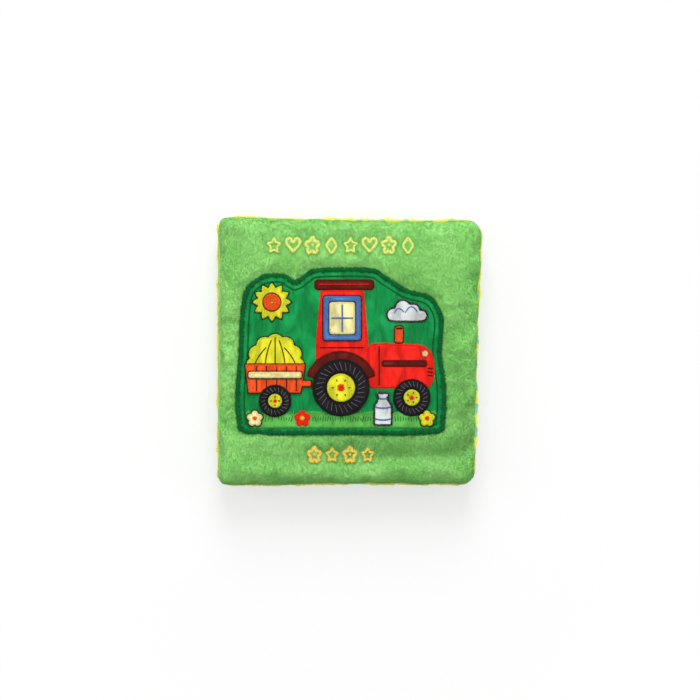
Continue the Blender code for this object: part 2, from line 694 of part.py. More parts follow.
finishes = {
    "plush": finish("green_plush", srgb(124, 192, 101), 0.95),
    "lining": finish("yellow_lining", srgb(238, 224, 70), 0.85),
    "batting": finish("white_batting", srgb(240, 240, 236), 0.95),
    "film": finish("crinkle_film", srgb(208, 214, 218), 0.3),
    "edge_thread": finish("yellow_edge_thread", srgb(243, 228, 78), 0.7),
    "sky_cloth": finish("sky_blue_cloth", srgb(120, 196, 226), 0.85),
    "sun_cloth": finish("sun_yellow_cloth", srgb(246, 222, 96), 0.85),
    "patch_green": finish("dark_green_satin", srgb(26, 108, 55), 0.45),
    "border_thread": finish("dark_green_thread", srgb(28, 72, 34), 0.5),
    "meadow": finish("meadow_satin", srgb(86, 170, 72), 0.5),
    "red": finish("red_satin", srgb(214, 42, 36), 0.45),
    "maroon": finish("maroon_satin", srgb(112, 26, 26), 0.5),
    "yellow": finish("yellow_satin", srgb(232, 222, 72), 0.45),
    "orange": finish("orange_satin", srgb(228, 98, 48), 0.45),
    "blue": finish("blue_satin", srgb(70, 122, 196), 0.45),
    "cream": finish("cream_satin", srgb(238, 222, 172), 0.5),
    "white": finish("white_satin", srgb(226, 230, 228), 0.45),
    "tyre": finish("black_satin", srgb(44, 36, 38), 0.5),
    "head_thread": finish("pale_yellow_thread", srgb(243, 243, 138), 0.45),
    "foot_thread": finish("golden_thread", srgb(232, 198, 84), 0.45),
}

back_cover = empty("spine_axis")
second_leaf = empty("second_leaf_hinge", back_cover)
first_leaf = empty("first_leaf_hinge", second_leaf)
front_cover = empty("front_cover_hinge", first_leaf)

make_cover("back", back_cover, -1, 0.0)
spine_seam(back_cover)
make_leaf("second_leaf", second_leaf, -1, finishes["sky_cloth"], finishes["sun_cloth"])
make_leaf("first_leaf", first_leaf, 1, finishes["sun_cloth"], finishes["sky_cloth"])
make_cover("front", front_cover, 1, CROWN)
applique(front_cover)
head_y = SPINE_LENGTH / 2 - HEAD_DROP / 2 - HEAD_ROW_EDGE
embroidered_row(
    "head",
    HEAD_ROW_COUNT,
    HEAD_ROW_SPAN,
    HEAD_ROW_HEIGHT,
    head_y,
    (star, heart, flower, diamond),
    "head_thread",
    front_cover,
)
embroidered_row(
    "foot",
    FOOT_ROW_COUNT,
    FOOT_ROW_SPAN,
    FOOT_ROW_HEIGHT,
    -SPINE_LENGTH / 2 + FOOT_ROW_EDGE,
    (flower, star),
    "foot_thread",
    front_cover,
)
centre_on_box(back_cover)
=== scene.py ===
import json
import math

import bmesh
import bpy
import numpy as np
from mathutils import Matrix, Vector, noise
from mathutils.bvhtree import BVHTree
from mathutils.geometry import delaunay_2d_cdt
from mathutils.kdtree import KDTree


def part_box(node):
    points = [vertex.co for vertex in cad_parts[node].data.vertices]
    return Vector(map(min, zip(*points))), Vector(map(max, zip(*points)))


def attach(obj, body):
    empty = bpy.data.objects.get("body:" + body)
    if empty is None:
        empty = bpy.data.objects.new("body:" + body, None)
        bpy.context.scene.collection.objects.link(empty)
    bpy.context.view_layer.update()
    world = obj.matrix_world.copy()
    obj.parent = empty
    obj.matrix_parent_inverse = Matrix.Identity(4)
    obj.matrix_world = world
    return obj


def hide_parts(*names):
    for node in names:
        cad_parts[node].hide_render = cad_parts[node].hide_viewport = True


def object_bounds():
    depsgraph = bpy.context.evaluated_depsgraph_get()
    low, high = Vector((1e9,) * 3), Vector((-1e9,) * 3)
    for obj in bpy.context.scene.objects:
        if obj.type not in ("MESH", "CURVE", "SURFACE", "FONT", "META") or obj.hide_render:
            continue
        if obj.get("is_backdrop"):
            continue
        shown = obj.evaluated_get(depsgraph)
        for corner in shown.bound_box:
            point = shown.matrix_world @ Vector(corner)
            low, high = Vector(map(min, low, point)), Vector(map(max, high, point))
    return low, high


# Crinkle cloth book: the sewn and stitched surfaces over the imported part.
# +X runs from the spine to the fore-edge, +Y to the head, +Z out of the front cover.

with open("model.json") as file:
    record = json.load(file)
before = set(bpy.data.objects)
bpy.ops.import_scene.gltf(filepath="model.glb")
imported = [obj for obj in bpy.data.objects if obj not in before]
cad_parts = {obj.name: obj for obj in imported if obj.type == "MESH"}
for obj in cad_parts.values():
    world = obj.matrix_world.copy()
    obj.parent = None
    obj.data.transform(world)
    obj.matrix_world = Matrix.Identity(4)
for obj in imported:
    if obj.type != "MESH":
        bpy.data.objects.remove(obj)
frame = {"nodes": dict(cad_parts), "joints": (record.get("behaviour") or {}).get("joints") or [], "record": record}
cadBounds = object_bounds()
mm = 0.001
axis = Vector(frame["joints"][0]["pos_m"])  # the spine seam, on which every page turns
slotNames = {row["node"]: row["material_slot"] for row in frame["record"]["subparts"]}


def report(words):
    print("cloth book:", words)


# Shader and geometry trees

class Value:  # one socket, with arithmetic that adds Math nodes
    def __init__(self, maker, socket):
        self.maker, self.socket = maker, socket

    def math(self, operation, *others):
        inputs = dict(enumerate((self, *others)))
        return self.maker.node("ShaderNodeMath", {"operation": operation}, inputs)

    def __add__(self, other):
        return self.math("ADD", other)

    def __mul__(self, other):
        return self.math("MULTIPLY", other)

    def __sub__(self, other):
        return self.math("SUBTRACT", other)

    def __rsub__(self, other):
        return self.maker.node("ShaderNodeMath", {"operation": "SUBTRACT"}, {0: other, 1: self})

    __radd__, __rmul__ = __add__, __mul__

    def between(self, low, high):  # 0 at low, 1 at high, soft at both ends
        settings = {"interpolation_type": "SMOOTHSTEP"}
        return self.maker.node("ShaderNodeMapRange", settings, {0: self, 1: low, 2: high})


class Tree:  # a node tree under construction
    def __init__(self, nodes, links):
        self.nodes, self.links = nodes, links

    def node(self, kind, settings=None, inputs=None, output=0):
        made = self.nodes.new(kind)
        for key, setting in (settings or {}).items():
            setattr(made, key, setting)
        for key, value in (inputs or {}).items():
            if isinstance(value, Value):
                self.links.new(value.socket, made.inputs[key])
            elif value is not None:
                made.inputs[key].default_value = value
        return Value(self, made.outputs[output])


class Finish(Tree):  # a cloth or thread material
    def __init__(self, name, roughness, **shader):
        self.material = bpy.data.materials.new(name)
        self.material.use_nodes = True
        tree = self.material.node_tree
        tree.nodes.clear()
        super().__init__(tree.nodes, tree.links)
        self.shader = self.nodes.new("ShaderNodeBsdfPrincipled")
        out = self.nodes.new("ShaderNodeOutputMaterial")
        self.links.new(self.shader.outputs[0], out.inputs[0])
        self.shader.inputs["Roughness"].default_value = roughness
        for key, value in shader.items():
            self.shader.inputs[key.replace("_", " ")].default_value = value
        self.place = self.node("ShaderNodeTexCoord", output=3)

    def stretched(self, scale, turn=0.0):
        inputs = {0: self.place, 2: (0, 0, turn), 3: scale}
        return self.node("ShaderNodeMapping", None, inputs)

    def grain(self, size, detail=2.0, rough=0.5, vector=None, warp=0.0):  # soft noise, size in metres
        inputs = {"Vector": vector or self.place, "Scale": 1 / size, "Detail": detail}
        inputs.update({"Roughness": rough, "Distortion": warp})
        return self.node("ShaderNodeTexNoise", None, inputs)

    def crush(self, size, vector):  # creased cells, 0 at their edges
        inputs = {"Vector": vector, "Scale": 1 / size}
        return self.node("ShaderNodeTexVoronoi", {"feature": "DISTANCE_TO_EDGE"}, inputs)

    def lines(self, size, direction, vector=None, warp=0.0):  # fine parallel ribs
        settings = {"wave_type": "BANDS", "bands_direction": direction}
        inputs = {0: vector or self.place, 1: 1 / size / 3.2, 2: warp, 3: 1.0}
        return self.node("ShaderNodeTexWave", settings, inputs, output=1)

    def vector(self, operation, *inputs, output=0):
        settings = {"operation": operation}
        return self.node("ShaderNodeVectorMath", settings, dict(enumerate(inputs)), output)

    def blend(self, share, first, second):
        inputs = {0: share, 6: first, 7: second}
        return self.node("ShaderNodeMix", {"data_type": "RGBA"}, inputs, output=2)

    def attribute(self, name):
        return self.node("ShaderNodeAttribute", {"attribute_name": name}, output=2)

    def relief(self, height, distance, strength=1.0, under=None):
        inputs = {"Strength": strength, "Distance": distance, "Height": height, "Normal": under}
        return self.node("ShaderNodeBump", None, inputs)

    def wear(self, colour, normal=None, roughness=None):
        self.links.new(colour.socket, self.shader.inputs["Base Color"])
        if normal:
            self.links.new(normal.socket, self.shader.inputs["Normal"])
        if roughness:
            self.links.new(roughness.socket, self.shader.inputs["Roughness"])
        return self.material


def screen(red, green, blue, shade=1.0):  # linear colour of an 8-bit screen colour
    return (*[((value / 255 + 0.055) / 1.055) ** 2.4 * shade for value in (red, green, blue)], 1.0)


# Cloth and thread finishes

dyes = dict(
    plush=(158, 225, 128),
    lining=(241, 240, 112),
    patch=(14, 142, 69),
    border=(8, 100, 44),
    meadow=(91, 182, 77),
    red=(244, 33, 22),
    maroon=(95, 20, 10),
    yellow=(222, 221, 28),
    orange=(249, 87, 31),
    blue=(79, 122, 182),
    cream=(238, 226, 157),
    white=(208, 212, 211),
    tread=(99, 95, 101),
    black=(24, 20, 24),
    headThread=(236, 254, 130),
    footThread=(250, 215, 89),
    edgeThread=(252, 254, 132),
    sky=(122, 196, 228),
    sun=(241, 215, 93),
    batting=(240, 240, 236),
    film=(206, 212, 218),
)


pileShades = dict(  # the plush's green, from painted shade low in the pile up to painted highlights on its tufts
    # the darkest green is painted shade for hollows, folds and the foot edge
    paintedShade=(77, 139, 58),
    # painted shade on dark streaks and between clumps
    paintedDimGreen=(102, 175, 82),
    paintedRootShade=(108, 179, 86),
    # painted shade where the pile lies away from the light, and painted highlight where it lies toward it
    away=(138, 211, 111),
    toward=(165, 228, 134),
    # painted highlight on the tops of the clumps
    tuft=(169, 231, 138),
    sheen=(190, 235, 170),
)


def plushFinish():
    paintedShade, paintedDimGreen, paintedRootShade, away, toward, tuft, sheen = (screen(*shade) for shade in pileShades.values())
    made = Finish("green_plush", 0.95, Sheen_Weight=0.3, Sheen_Roughness=0.4, Specular_IOR_Level=0.08)
    made.shader.inputs["Sheen Tint"].default_value = sheen
    paintedShadeBlotches = made.grain(26 * mm, 2.0, 0.5, warp=0.3)  # painted shade in blotches, as where the pile lies one way or another
    paintedLightStreaks = made.grain(9 * mm, 2.0, 0.5, vector=made.stretched((1.0, 0.7, 1.0), 0.6), warp=0.3)
    clump = made.grain(3.4 * mm, 1.0, 0.5)
    fibre = made.grain(0.6 * mm, 2.0, 0.7, vector=made.stretched((1.0, 0.45, 1.0), 0.5))
    paintedShadeShare, shade, tip = (made.attribute(name) for name in ("hollow", "shade", "tip"))
    # painted shade in blotches, then painted highlights and painted shade along the streaks
    base = made.blend(paintedShadeBlotches.between(0.36, 0.62), away, screen(*dyes["plush"]))
    base = made.blend(paintedLightStreaks.between(0.52, 0.75) * 0.14, base, toward)
    base = made.blend((1 - paintedLightStreaks.between(0.32, 0.48)) * 0.12, base, paintedDimGreen)
    # painted highlight on the clumps' tops, painted shade in the pits between them
    tufts = made.blend(clump.between(0.54, 0.80) * 0.15, base, tuft)
    paintedPitShade = made.blend((1 - clump.between(0.28, 0.42)) * 0.22, tufts, paintedDimGreen)
    # painted shade at the roots of the tufts, lighter towards their tips, with random tone per tuft and fibre
    fur = tip * 0.2 + shade * 0.1 + fibre.between(0.3, 0.62) * 0.08 + 0.8
    strands = made.blend(fur, paintedRootShade, paintedPitShade)
    # painted shade, as much as the hollow attribute asks
    paintedLightTone = made.blend(paintedShadeShare.between(0.05, 1.0) * 0.55, strands, paintedShade)
    soft = made.relief(clump, 0.3 * mm, 0.3)
    return made.wear(paintedLightTone, made.relief(fibre, 0.25 * mm, 0.6, soft))


def glossOf(colour):  # deep dyes stay deep only if they shine less
    return 0.22 if sum(colour) > 420 else 0.07


def satinFinish(name, colour, turn=0.35):
    made = Finish(name, 0.4, Specular_IOR_Level=glossOf(colour))
    folds = made.grain(8 * mm, 2.0, 0.5, vector=made.stretched((1.0, 0.45, 1.0), turn * 1.7), warp=0.8)
    ribs = made.lines(0.32 * mm, "X", made.stretched((1, 1, 1), turn), 0.4)
    slub = made.grain(0.8 * mm, 2.0, 0.6, vector=made.stretched((1.0, 0.12, 1.0), turn))
    # painted shade in the troughs of the folds and painted highlight on their crests; the slub streaks along the
    # weave are partly yarn tone, partly painted sheen
    paintedShade = made.blend(folds.between(0.36, 0.6), screen(*colour, 0.62), screen(*colour))
    glow = screen(*[min(255, c + 22) for c in colour])
    lit = made.blend(folds.between(0.56, 0.74) * 0.7, paintedShade, glow)
    paintedLightTone = made.blend(slub.between(0.35, 0.75) * 0.25, lit, glow)
    swell = made.relief(folds, 1.1 * mm, 0.6)
    rough = folds * 0.2 + 0.28
    return made.wear(paintedLightTone, made.relief(ribs + slub * 0.5, 0.07 * mm, 0.55, swell), rough)


def threadFinish(name, colour):
    made = Finish(name, 0.42, Specular_IOR_Level=glossOf(colour))
    shade = made.attribute("shade")
    twist = made.lines(0.22 * mm, "DIAGONAL", warp=1.0)
    tone = made.blend(shade, screen(*colour, 0.78), screen(*[min(255, c + 12) for c in colour]))
    # painted shade in stripes along the twist
    paintedLightTone = made.blend(twist * 0.22, tone, screen(*colour, 0.6))
    return made.wear(paintedLightTone, made.relief(twist, 0.08 * mm, 0.6))


def weave(made, pitch=0.42 * mm):
    over = made.lines(pitch, "X", warp=0.3)
    across = made.lines(pitch, "Y", warp=0.3)
    return over * across + made.grain(0.5 * mm) * 0.4


def printFinish(name, ground, ink, pattern, size):
    made = Finish(name, 0.82, Sheen_Weight=0.1, Sheen_Roughness=0.5, Specular_IOR_Level=0.25)
    crease = made.grain(14 * mm, 3.0, 0.55, warp=0.8)
    threads = weave(made)
    if pattern == "dots":
        tile = made.vector("ABSOLUTE", made.vector("MODULO", made.place, (size,) * 3))
        flat = made.vector("MULTIPLY", tile, (1, 1, 0))
        reach = made.vector("DISTANCE", flat, (size / 2, size / 2, 0), output=1)
        mask = 1 - reach.between(size * 0.22, size * 0.26)
    else:  # gingham
        bars = [made.lines(size, way).between(0.42, 0.58) for way in ("X", "Y")]
        mask = (bars[0] + bars[1]) * 0.5
    printed = made.blend(mask, screen(*ground), screen(*ink))
    # darker where the crease noise rises
    creaseDarkened = made.blend(crease.between(0.3, 0.7) * 0.22, printed, screen(*ground, 0.6))
    tone = made.blend(threads.between(0.1, 0.9) * 0.2, creaseDarkened, screen(*ground, 0.75))
    return made.wear(tone, made.relief(threads, 0.09 * mm, 0.6, made.relief(crease, 0.8 * mm, 0.5)))


def battingFinish():
    made = Finish("white_batting", 0.95, Sheen_Weight=0.3)
    fluff = made.grain(2.2 * mm, 5.0, 0.7, warp=2.0)
    # painted shade where the fluff lies low
    tone = made.blend(fluff, screen(*dyes["batting"], 0.8), screen(*dyes["batting"]))
    return made.wear(tone, made.relief(fluff, 1.2 * mm, 0.8))


def filmFinish():
    made = Finish("crinkle_film", 0.22, Specular_IOR_Level=0.7)
    crush = made.crush(7 * mm, made.stretched((1, 1, 1), 0.3))
    haze = made.grain(3 * mm, 3.0)
    tone = made.blend(haze, screen(*dyes["film"], 0.85), screen(*dyes["film"]))
    return made.wear(tone, made.relief(crush, 0.8 * mm, 0.7), haze * 0.2 + 0.15)


prints = dict(  # slot, colour of the print, pattern and its repeat
    lining=("yellow_lining", (112, 204, 178), "dots", 14 * mm),
    sun=("sun_yellow_cloth", (240, 134, 92), "dots", 11 * mm),
    sky=("sky_blue_cloth", (232, 240, 244), "gingham", 7 * mm),
)
finishes = {
    "plush": plushFinish(),
    **{dye: printFinish(slot, dyes[dye], *look) for dye, (slot, *look) in prints.items()},
    "batting": battingFinish(),
    "film": filmFinish(),
}
for index, dye in enumerate(("patch", "meadow", "red", "maroon", "yellow", "orange", "blue", "cream",
                             "white", "black")):
    finishes[dye] = satinFinish(f"{dye}_satin", dyes[dye], 0.35 + 0.5 * index)
for dye in ("border", "red", "maroon", "yellow", "orange", "blue", "cream", "white", "black", "meadow",
            "tread", "headThread", "footThread", "edgeThread"):
    finishes[f"{dye}_thread"] = threadFinish(f"{dye}_thread", dyes[dye])
report("finishes mixed")


# Sewn panels

book = dict(
    length=162.5 * mm,
    headWidth=161.0 * mm,
    footWidth=156.0 * mm,
    headDrop=2.2 * mm,
    sideDraw=1.0 * mm,
    foreCorner=10.0 * mm,
    spineCorner=5.0 * mm,
    leastCorner=0.6 * mm,
    flange=0.8 * mm,  # lining that shows past the plush
    gutterFlat=7.0 * mm,
    gutterEnd=15.0 * mm,
    peek=0.8,  # how much more lining shows low on the fore-edge, as a share of its fray
    peekAt=-38.0 * mm,
    peekSpan=28.0 * mm,
)
page = dict(headWidth=158.5 * mm, footWidth=157.6 * mm, setback=1.2 * mm, corner=9.0 * mm, roll=6.0 * mm)


class Panel:  # a rectangle with rounded corners, drawn out of square as the sewn one is
    def __init__(self, spineX, length, headWidth, footWidth, foreCorner):
        self.spineX, self.half = spineX, length / 2
        self.headWidth, self.footWidth, self.foreCorner = headWidth, footWidth, foreCorner

    def sewn(self, flat, slack=0.0):  # slack: how far hand sewing wanders off the line
        x, y = flat[:, 0], flat[:, 1]
        up = np.clip((y / self.half + 1) / 2, 0, 1)
        along = np.maximum(0, (x - book["gutterEnd"]) / (self.headWidth - book["gutterEnd"]))
        drawnX = x + (self.footWidth - self.headWidth) * (1 - up) * along
        drawnX -= book["sideDraw"] * np.sin(math.pi * up) * along
        drawnY = y - book["headDrop"] * along * up
        drawnY -= book["sideDraw"] * np.sin(math.pi * np.minimum(along, 1)) * y / self.half
        wander = np.column_stack([drawnX, drawnY, 0 * x])
        drawnX += slack * clouds(wander, 15 * mm, 4.4) * np.minimum(1, along * 3)
        drawnX += slack * np.abs(clouds(wander, 17 * mm, 6.6)) * (1 - np.minimum(1, along * 9))
        drawnY += slack * clouds(wander, 15 * mm, 5.5) * np.minimum(1, along * 9)
        return np.stack([drawnX, drawnY], axis=1)

    def ring(self, inset, perSide):  # counter-clockwise from the middle of the spine-foot corner
        left, right = self.spineX + inset, self.headWidth - inset
        high = self.half - inset
        corners = (book["spineCorner"], self.foreCorner, self.foreCorner, book["spineCorner"])
        radii = [max(r - inset, book["leastCorner"]) for r in corners]
        centres = [
            (left + radii[0], -high + radii[0]), (right - radii[1], -high + radii[1]),
            (right - radii[2], high - radii[2]), (left + radii[3], high - radii[3]),
        ]
        points = []
        for side in range(4):
            turns = [math.radians(225 + 90 * side) + math.pi / 4 * half for half in range(3)]
            starts, ends = np.linspace(*turns[:2], 9), np.linspace(*turns[1:], 9)
            line = []
            for corner, turns in ((side, starts), ((side + 1) % 4, ends)):
                centre, radius = centres[corner], radii[corner]
                line += [(centre[0] + radius * math.cos(a), centre[1] + radius * math.sin(a)) for a in turns]
            line = np.array(line)
            along = np.concatenate([[0], np.cumsum(np.linalg.norm(np.diff(line, axis=0), axis=1))])
            at = np.linspace(0, along[-1], perSide + 1)[:-1]
            points += list(zip(np.interp(at, along, line[:, 0]), np.interp(at, along, line[:, 1])))
        return np.array(points)


def skin(panel, insets, perSide):  # flat points and faces: rings at the insets, then a grid inside
    rings = [panel.ring(inset, perSide) for inset in insets]
    last = rings[-1]
    total, p = 4 * perSide, perSide
    corner = [last[k * p] for k in range(4)]
    steps = np.arange(1, p) / p
    grid = []
    for i, u in zip(range(1, p), steps):
        for j, v in zip(range(1, p), steps):
            foot, head = last[i], last[3 * p - i]
            spine, fore = last[(4 * p - j) % total], last[p + j]
            across = (1 - v) * foot + v * head + (1 - u) * spine + u * fore
            plain = (1 - u) * ((1 - v) * corner[0] + v * corner[3])
            plain = plain + u * ((1 - v) * corner[1] + v * corner[2])
            grid.append(across - plain)
    flat = np.concatenate(rings + [np.array(grid)])
    faces = []
    for level in range(len(insets) - 1):
        for k in range(total):
            a, b = level * total + k, level * total + (k + 1) % total
            faces.append((a, b, b + total, a + total))
    start = (len(insets) - 1) * total

    def at(i, j):
        if j == 0:
            return start + i
        if i == p:
            return start + p + j
        if j == p:
            return start + 3 * p - i
        if i == 0:
            return start + (4 * p - j) % total
        return start + total + (i - 1) * (p - 1) + j - 1

    faces += [(at(i, j), at(i + 1, j), at(i + 1, j + 1), at(i, j + 1)) for i in range(p) for j in range(p)]
    return flat, faces


def ramp(x, gutterZ, bodyZ):
    part = np.clip((x - book["gutterFlat"]) / (book["gutterEnd"] - book["gutterFlat"]), 0, 1)
    return gutterZ + (bodyZ - gutterZ) * part * part * (3 - 2 * part)


def clouds(points, size, seed=0.0):  # soft noise about 0, one value a point
    return np.array([noise.noise(Vector((x / size + seed, y / size, z / size))) for x, y, z in points])


def linked(name, data):
    made = bpy.data.objects.new(name, data)
    bpy.context.scene.collection.objects.link(made)
    return made


def newMesh(name, points, faces):
    mesh = bpy.data.meshes.new(name)
    mesh.from_pydata([tuple(p) for p in points], [], [tuple(f) for f in faces])
    mesh.update()
    mesh.shade_smooth()
    return linked(name, mesh)


def places(mesh):
    co = np.zeros(len(mesh.vertices) * 3)
    mesh.vertices.foreach_get("co", co)
    return co.reshape(-1, 3)


def normals(mesh):
    out = np.zeros(len(mesh.vertices) * 3)
    mesh.vertices.foreach_get("normal", out)
    return out.reshape(-1, 3)


def settle(made):  # the evaluated mesh, without its modifiers
    graph = bpy.context.evaluated_depsgraph_get()
    mesh = bpy.data.meshes.new_from_object(made.evaluated_get(graph))
    old = made.data
    made.modifiers.clear()
    made.data = mesh
    bpy.data.meshes.remove(old)
    return made


def divided(made, levels):
    modifier = made.modifiers.new("subdivide", "SUBSURF")
    modifier.levels = modifier.render_levels = levels
    return settle(made)


def outward(made):
    shape = bmesh.new()
    shape.from_mesh(made.data)
    bmesh.ops.remove_doubles(shape, verts=shape.verts[:], dist=0.001 * mm)
    bmesh.ops.recalc_face_normals(shape, faces=shape.faces[:])
    shape.to_mesh(made.data)
    shape.free()
    return made


def dress(made, finish, body, *nodes, slot=None):  # the slot argument is not used
    made.data.materials.clear()
    made.data.materials.append(finishes[finish])
    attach(made, body)
    if nodes:
        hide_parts(*nodes)
    slot or slotNames[nodes[0]]
    return made


def topOf(node):
    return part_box(node)[1].z


# Cloth simulation of a padded face

stuffing = dict(scale=8.0, frames=18, pressure=3.0, slack=-0.035, mostRise=1.9 * mm)


def plumped(made, hold):  # hold: 1 where the cloth is sewn down, 0 where it is free
    scale = stuffing["scale"]
    rest = places(made.data)
    trial = newMesh("trial_cloth", rest * scale, [tuple(f.vertices) for f in made.data.polygons])
    group = trial.vertex_groups.new(name="sewn")
    for index, weight in enumerate(hold):
        group.add([index], float(weight), "REPLACE")
    cloth = trial.modifiers.new("stuffed", "CLOTH")
    cloth.settings.vertex_group_mass = "sewn"
    cloth.settings.quality = 6
    cloth.settings.mass = 0.25
    cloth.settings.tension_stiffness = cloth.settings.compression_stiffness = 12
    cloth.settings.bending_stiffness = 0.6
    cloth.settings.shrink_min = stuffing["slack"]
    cloth.settings.use_pressure = True
    cloth.settings.uniform_pressure_force = stuffing["pressure"]
    cloth.settings.effector_weights.gravity = 0
    cloth.collision_settings.use_collision = False
    cloth.point_cache.frame_start, cloth.point_cache.frame_end = 1, stuffing["frames"]
    for step in range(1, stuffing["frames"] + 1):
        bpy.context.scene.frame_set(step)
    graph = bpy.context.evaluated_depsgraph_get()
    moved = places(trial.evaluated_get(graph).data) / scale - rest
    bpy.context.scene.frame_set(1)
    reach = np.linalg.norm(moved, axis=1, keepdims=True)
    moved *= np.minimum(1, stuffing["mostRise"] / np.maximum(reach, 1e-9))
    made.data.vertices.foreach_set("co", (rest + moved).ravel())
    made.data.update()
    bpy.data.objects.remove(trial)
    report(f"{made.name} stuffed, largest move {reach.max() / mm:.2f} mm")
    return made


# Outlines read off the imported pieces

def outlines(node):  # closed outlines of a flat piece's upper face, the longest first
    shape = bmesh.new()
    shape.from_mesh(frame["nodes"][node].data)
    bmesh.ops.remove_doubles(shape, verts=shape.verts[:], dist=0.005 * mm)
    shape.normal_update()
    up = {face for face in shape.faces if face.normal.z > 0.9}
    rim = [edge for edge in shape.edges if sum(face in up for face in edge.link_faces) == 1]
    onward = {}
    for edge in rim:
        face = next(face for face in edge.link_faces if face in up)
        for loop in face.loops:
            if loop.edge == edge:
                onward[loop.vert] = loop.link_loop_next.vert
    found = []
    while onward:
        first = next(iter(onward))
        here, line = first, []
        while here in onward:
            line.append((here.co.x, here.co.y))
            here = onward.pop(here)
        found.append(np.array(line))
    shape.free()
    return sorted(found, key=lambda line: -np.ptp(line, axis=0).sum())


def flowing(line, step, sharp=38):  # an outline with close points, smooth but at its sharp corners
    count = len(line)
    turns = []
    for i in range(count):
        a, b = line[i] - line[i - 1], line[(i + 1) % count] - line[i]
        cosine = a @ b / max(np.linalg.norm(a) * np.linalg.norm(b), 1e-12)
        turns.append(math.degrees(math.acos(min(1, max(-1, cosine)))))
    points = []
    for i in range(count):
        before, here, there, after = (line[(i + k) % count] for k in (-1, 0, 1, 2))
        run = np.linalg.norm(there - here)
        leave = there - here if turns[i] > sharp else (there - before) / 2
        arrive = there - here if turns[(i + 1) % count] > sharp else (after - here) / 2
        leave, arrive = (v / max(np.linalg.norm(v), 1e-12) * run for v in (leave, arrive))
        pieces = max(1, round(run / step))
        for k in range(pieces):
            t = k / pieces
            points.append(
                (2 * t**3 - 3 * t**2 + 1) * here + (t**3 - 2 * t**2 + t) * leave
                + (3 * t**2 - 2 * t**3) * there + (t**3 - t**2) * arrive
            )
    return np.array(points)


def pointTree(points):  # finds the nearest of many flat points
    tree = KDTree(len(points))
    for index, point in enumerate(points):
        tree.insert((*point, 0), index)
    tree.balance()
    return tree


def farFrom(line, points):  # how far each point is from a line
    tree = pointTree(line)
    return np.array([tree.find((x, y, 0))[2] for x, y in points])


def inward(line, distance):  # an outline moved to its left, so into an outer one and out of a hole
    total = 0
    for run in (line - np.roll(line, 1, axis=0), np.roll(line, -1, axis=0) - line):
        total = total + np.stack([-run[:, 1], run[:, 0]], axis=1) / np.linalg.norm(run, axis=1, keepdims=True)
    mitre = np.maximum(np.sum(total * total, axis=1, keepdims=True) / 2, 0.3)
    moved = line + total / mitre * distance
    clear = farFrom(line, moved) > 0.96 * abs(distance)  # loses the loops at tight corners
    return moved[clear]


def inside(points, line):
    result = np.zeros(len(points), bool)
    ends = np.roll(line, -1, axis=0)
    for (ax, ay), (bx, by) in zip(line, ends):
        spans = (ay > points[:, 1]) != (by > points[:, 1])
        with np.errstate(divide="ignore", invalid="ignore"):
            crossing = (bx - ax) * (points[:, 1] - ay) / (by - ay) + ax
        result ^= spans & (points[:, 0] < crossing)
    return result


def within(points, lines):  # inside the first outline and outside its holes
    result = inside(points, lines[0])
    for hole in lines[1:]:
        result &= ~inside(points, hole)
    return result


plainCut = dict(pillow=0.24 * mm, grid=1.2 * mm, waves=0.06 * mm, pucker=0.05 * mm, pleat=2.4 * mm)


def stitched(name, lines, base, top, finish, body, node, **given):
    # a flat cut of cloth: its face rises from the sewn edge, and its underside lies on what carries it
    pillow, grid, waves, pucker, pleat = {**plainCut, **given}.values()
    low, high = lines[0].min(axis=0), lines[0].max(axis=0)
    xs = np.arange(low[0] + grid / 2, high[0], grid)
    ys = np.arange(low[1] + grid / 2, high[1], grid)
    spots = np.array([(x + (k % 2) * grid / 2, y) for k, y in enumerate(ys) for x in xs]).reshape(-1, 2)
    rim = np.concatenate(lines)
    near = pointTree(rim)
    keep = within(spots, lines)
    spots = [p for p, ok in zip(spots, keep) if ok and near.find((*p, 0))[2] > grid * 0.45]
    points = [Vector(p) for p in rim] + [Vector(p) for p in spots]
    edges, start = [], 0
    for line in lines:
        edges += [(start + k, start + (k + 1) % len(line)) for k in range(len(line))]
        start += len(line)
    flat, _, triangles, *_ = delaunay_2d_cdt(points, edges, [], 0, 1e-7)
    middles = np.array([sum((flat[k] for k in t), Vector((0, 0))) / 3 for t in triangles])
    triangles = [tuple(t) for t, ok in zip(triangles, within(middles, lines)) if ok]
    count = len(flat)
    face, under = [], []
    spread = np.cumsum(np.linalg.norm(rim - np.roll(rim, 1, axis=0), axis=1))
    for point in flat:
        _, index, far = near.find((*point, 0))
        place = Vector((point.x / (7 * mm), point.y / (7 * mm), top * 900))
        ripple = (noise.noise(place) + 0.5 * noise.noise(place * 2.3)) * waves * min(1, far / (2 * mm))
        turn = 2 * math.pi * spread[index] / pleat + 3 * noise.noise(place * 0.8)
        ripple += math.sin(turn) * pucker * min(1, far / mm) * math.exp(-far / (1.6 * pleat))
        rise = (1 - math.exp(-far / (0.7 * mm))) * pillow
        face.append((point.x, point.y, top - pillow + rise + ripple))
        under.append((point.x, point.y, base))
    sides = dict.fromkeys(pair for a, b, c in triangles for pair in ((a, b), (b, c), (c, a)))
    walls = [(b, a, a + count, b + count) for a, b in sides if (b, a) not in sides]
    faces = triangles + [tuple(k + count for k in reversed(t)) for t in triangles] + walls
    made = outward(newMesh(name, face + under, faces))
    made.data.set_sharp_from_angle(angle=math.radians(50))
    return dress(made, finish, body, node)


# Stitches along a path, by Geometry Nodes

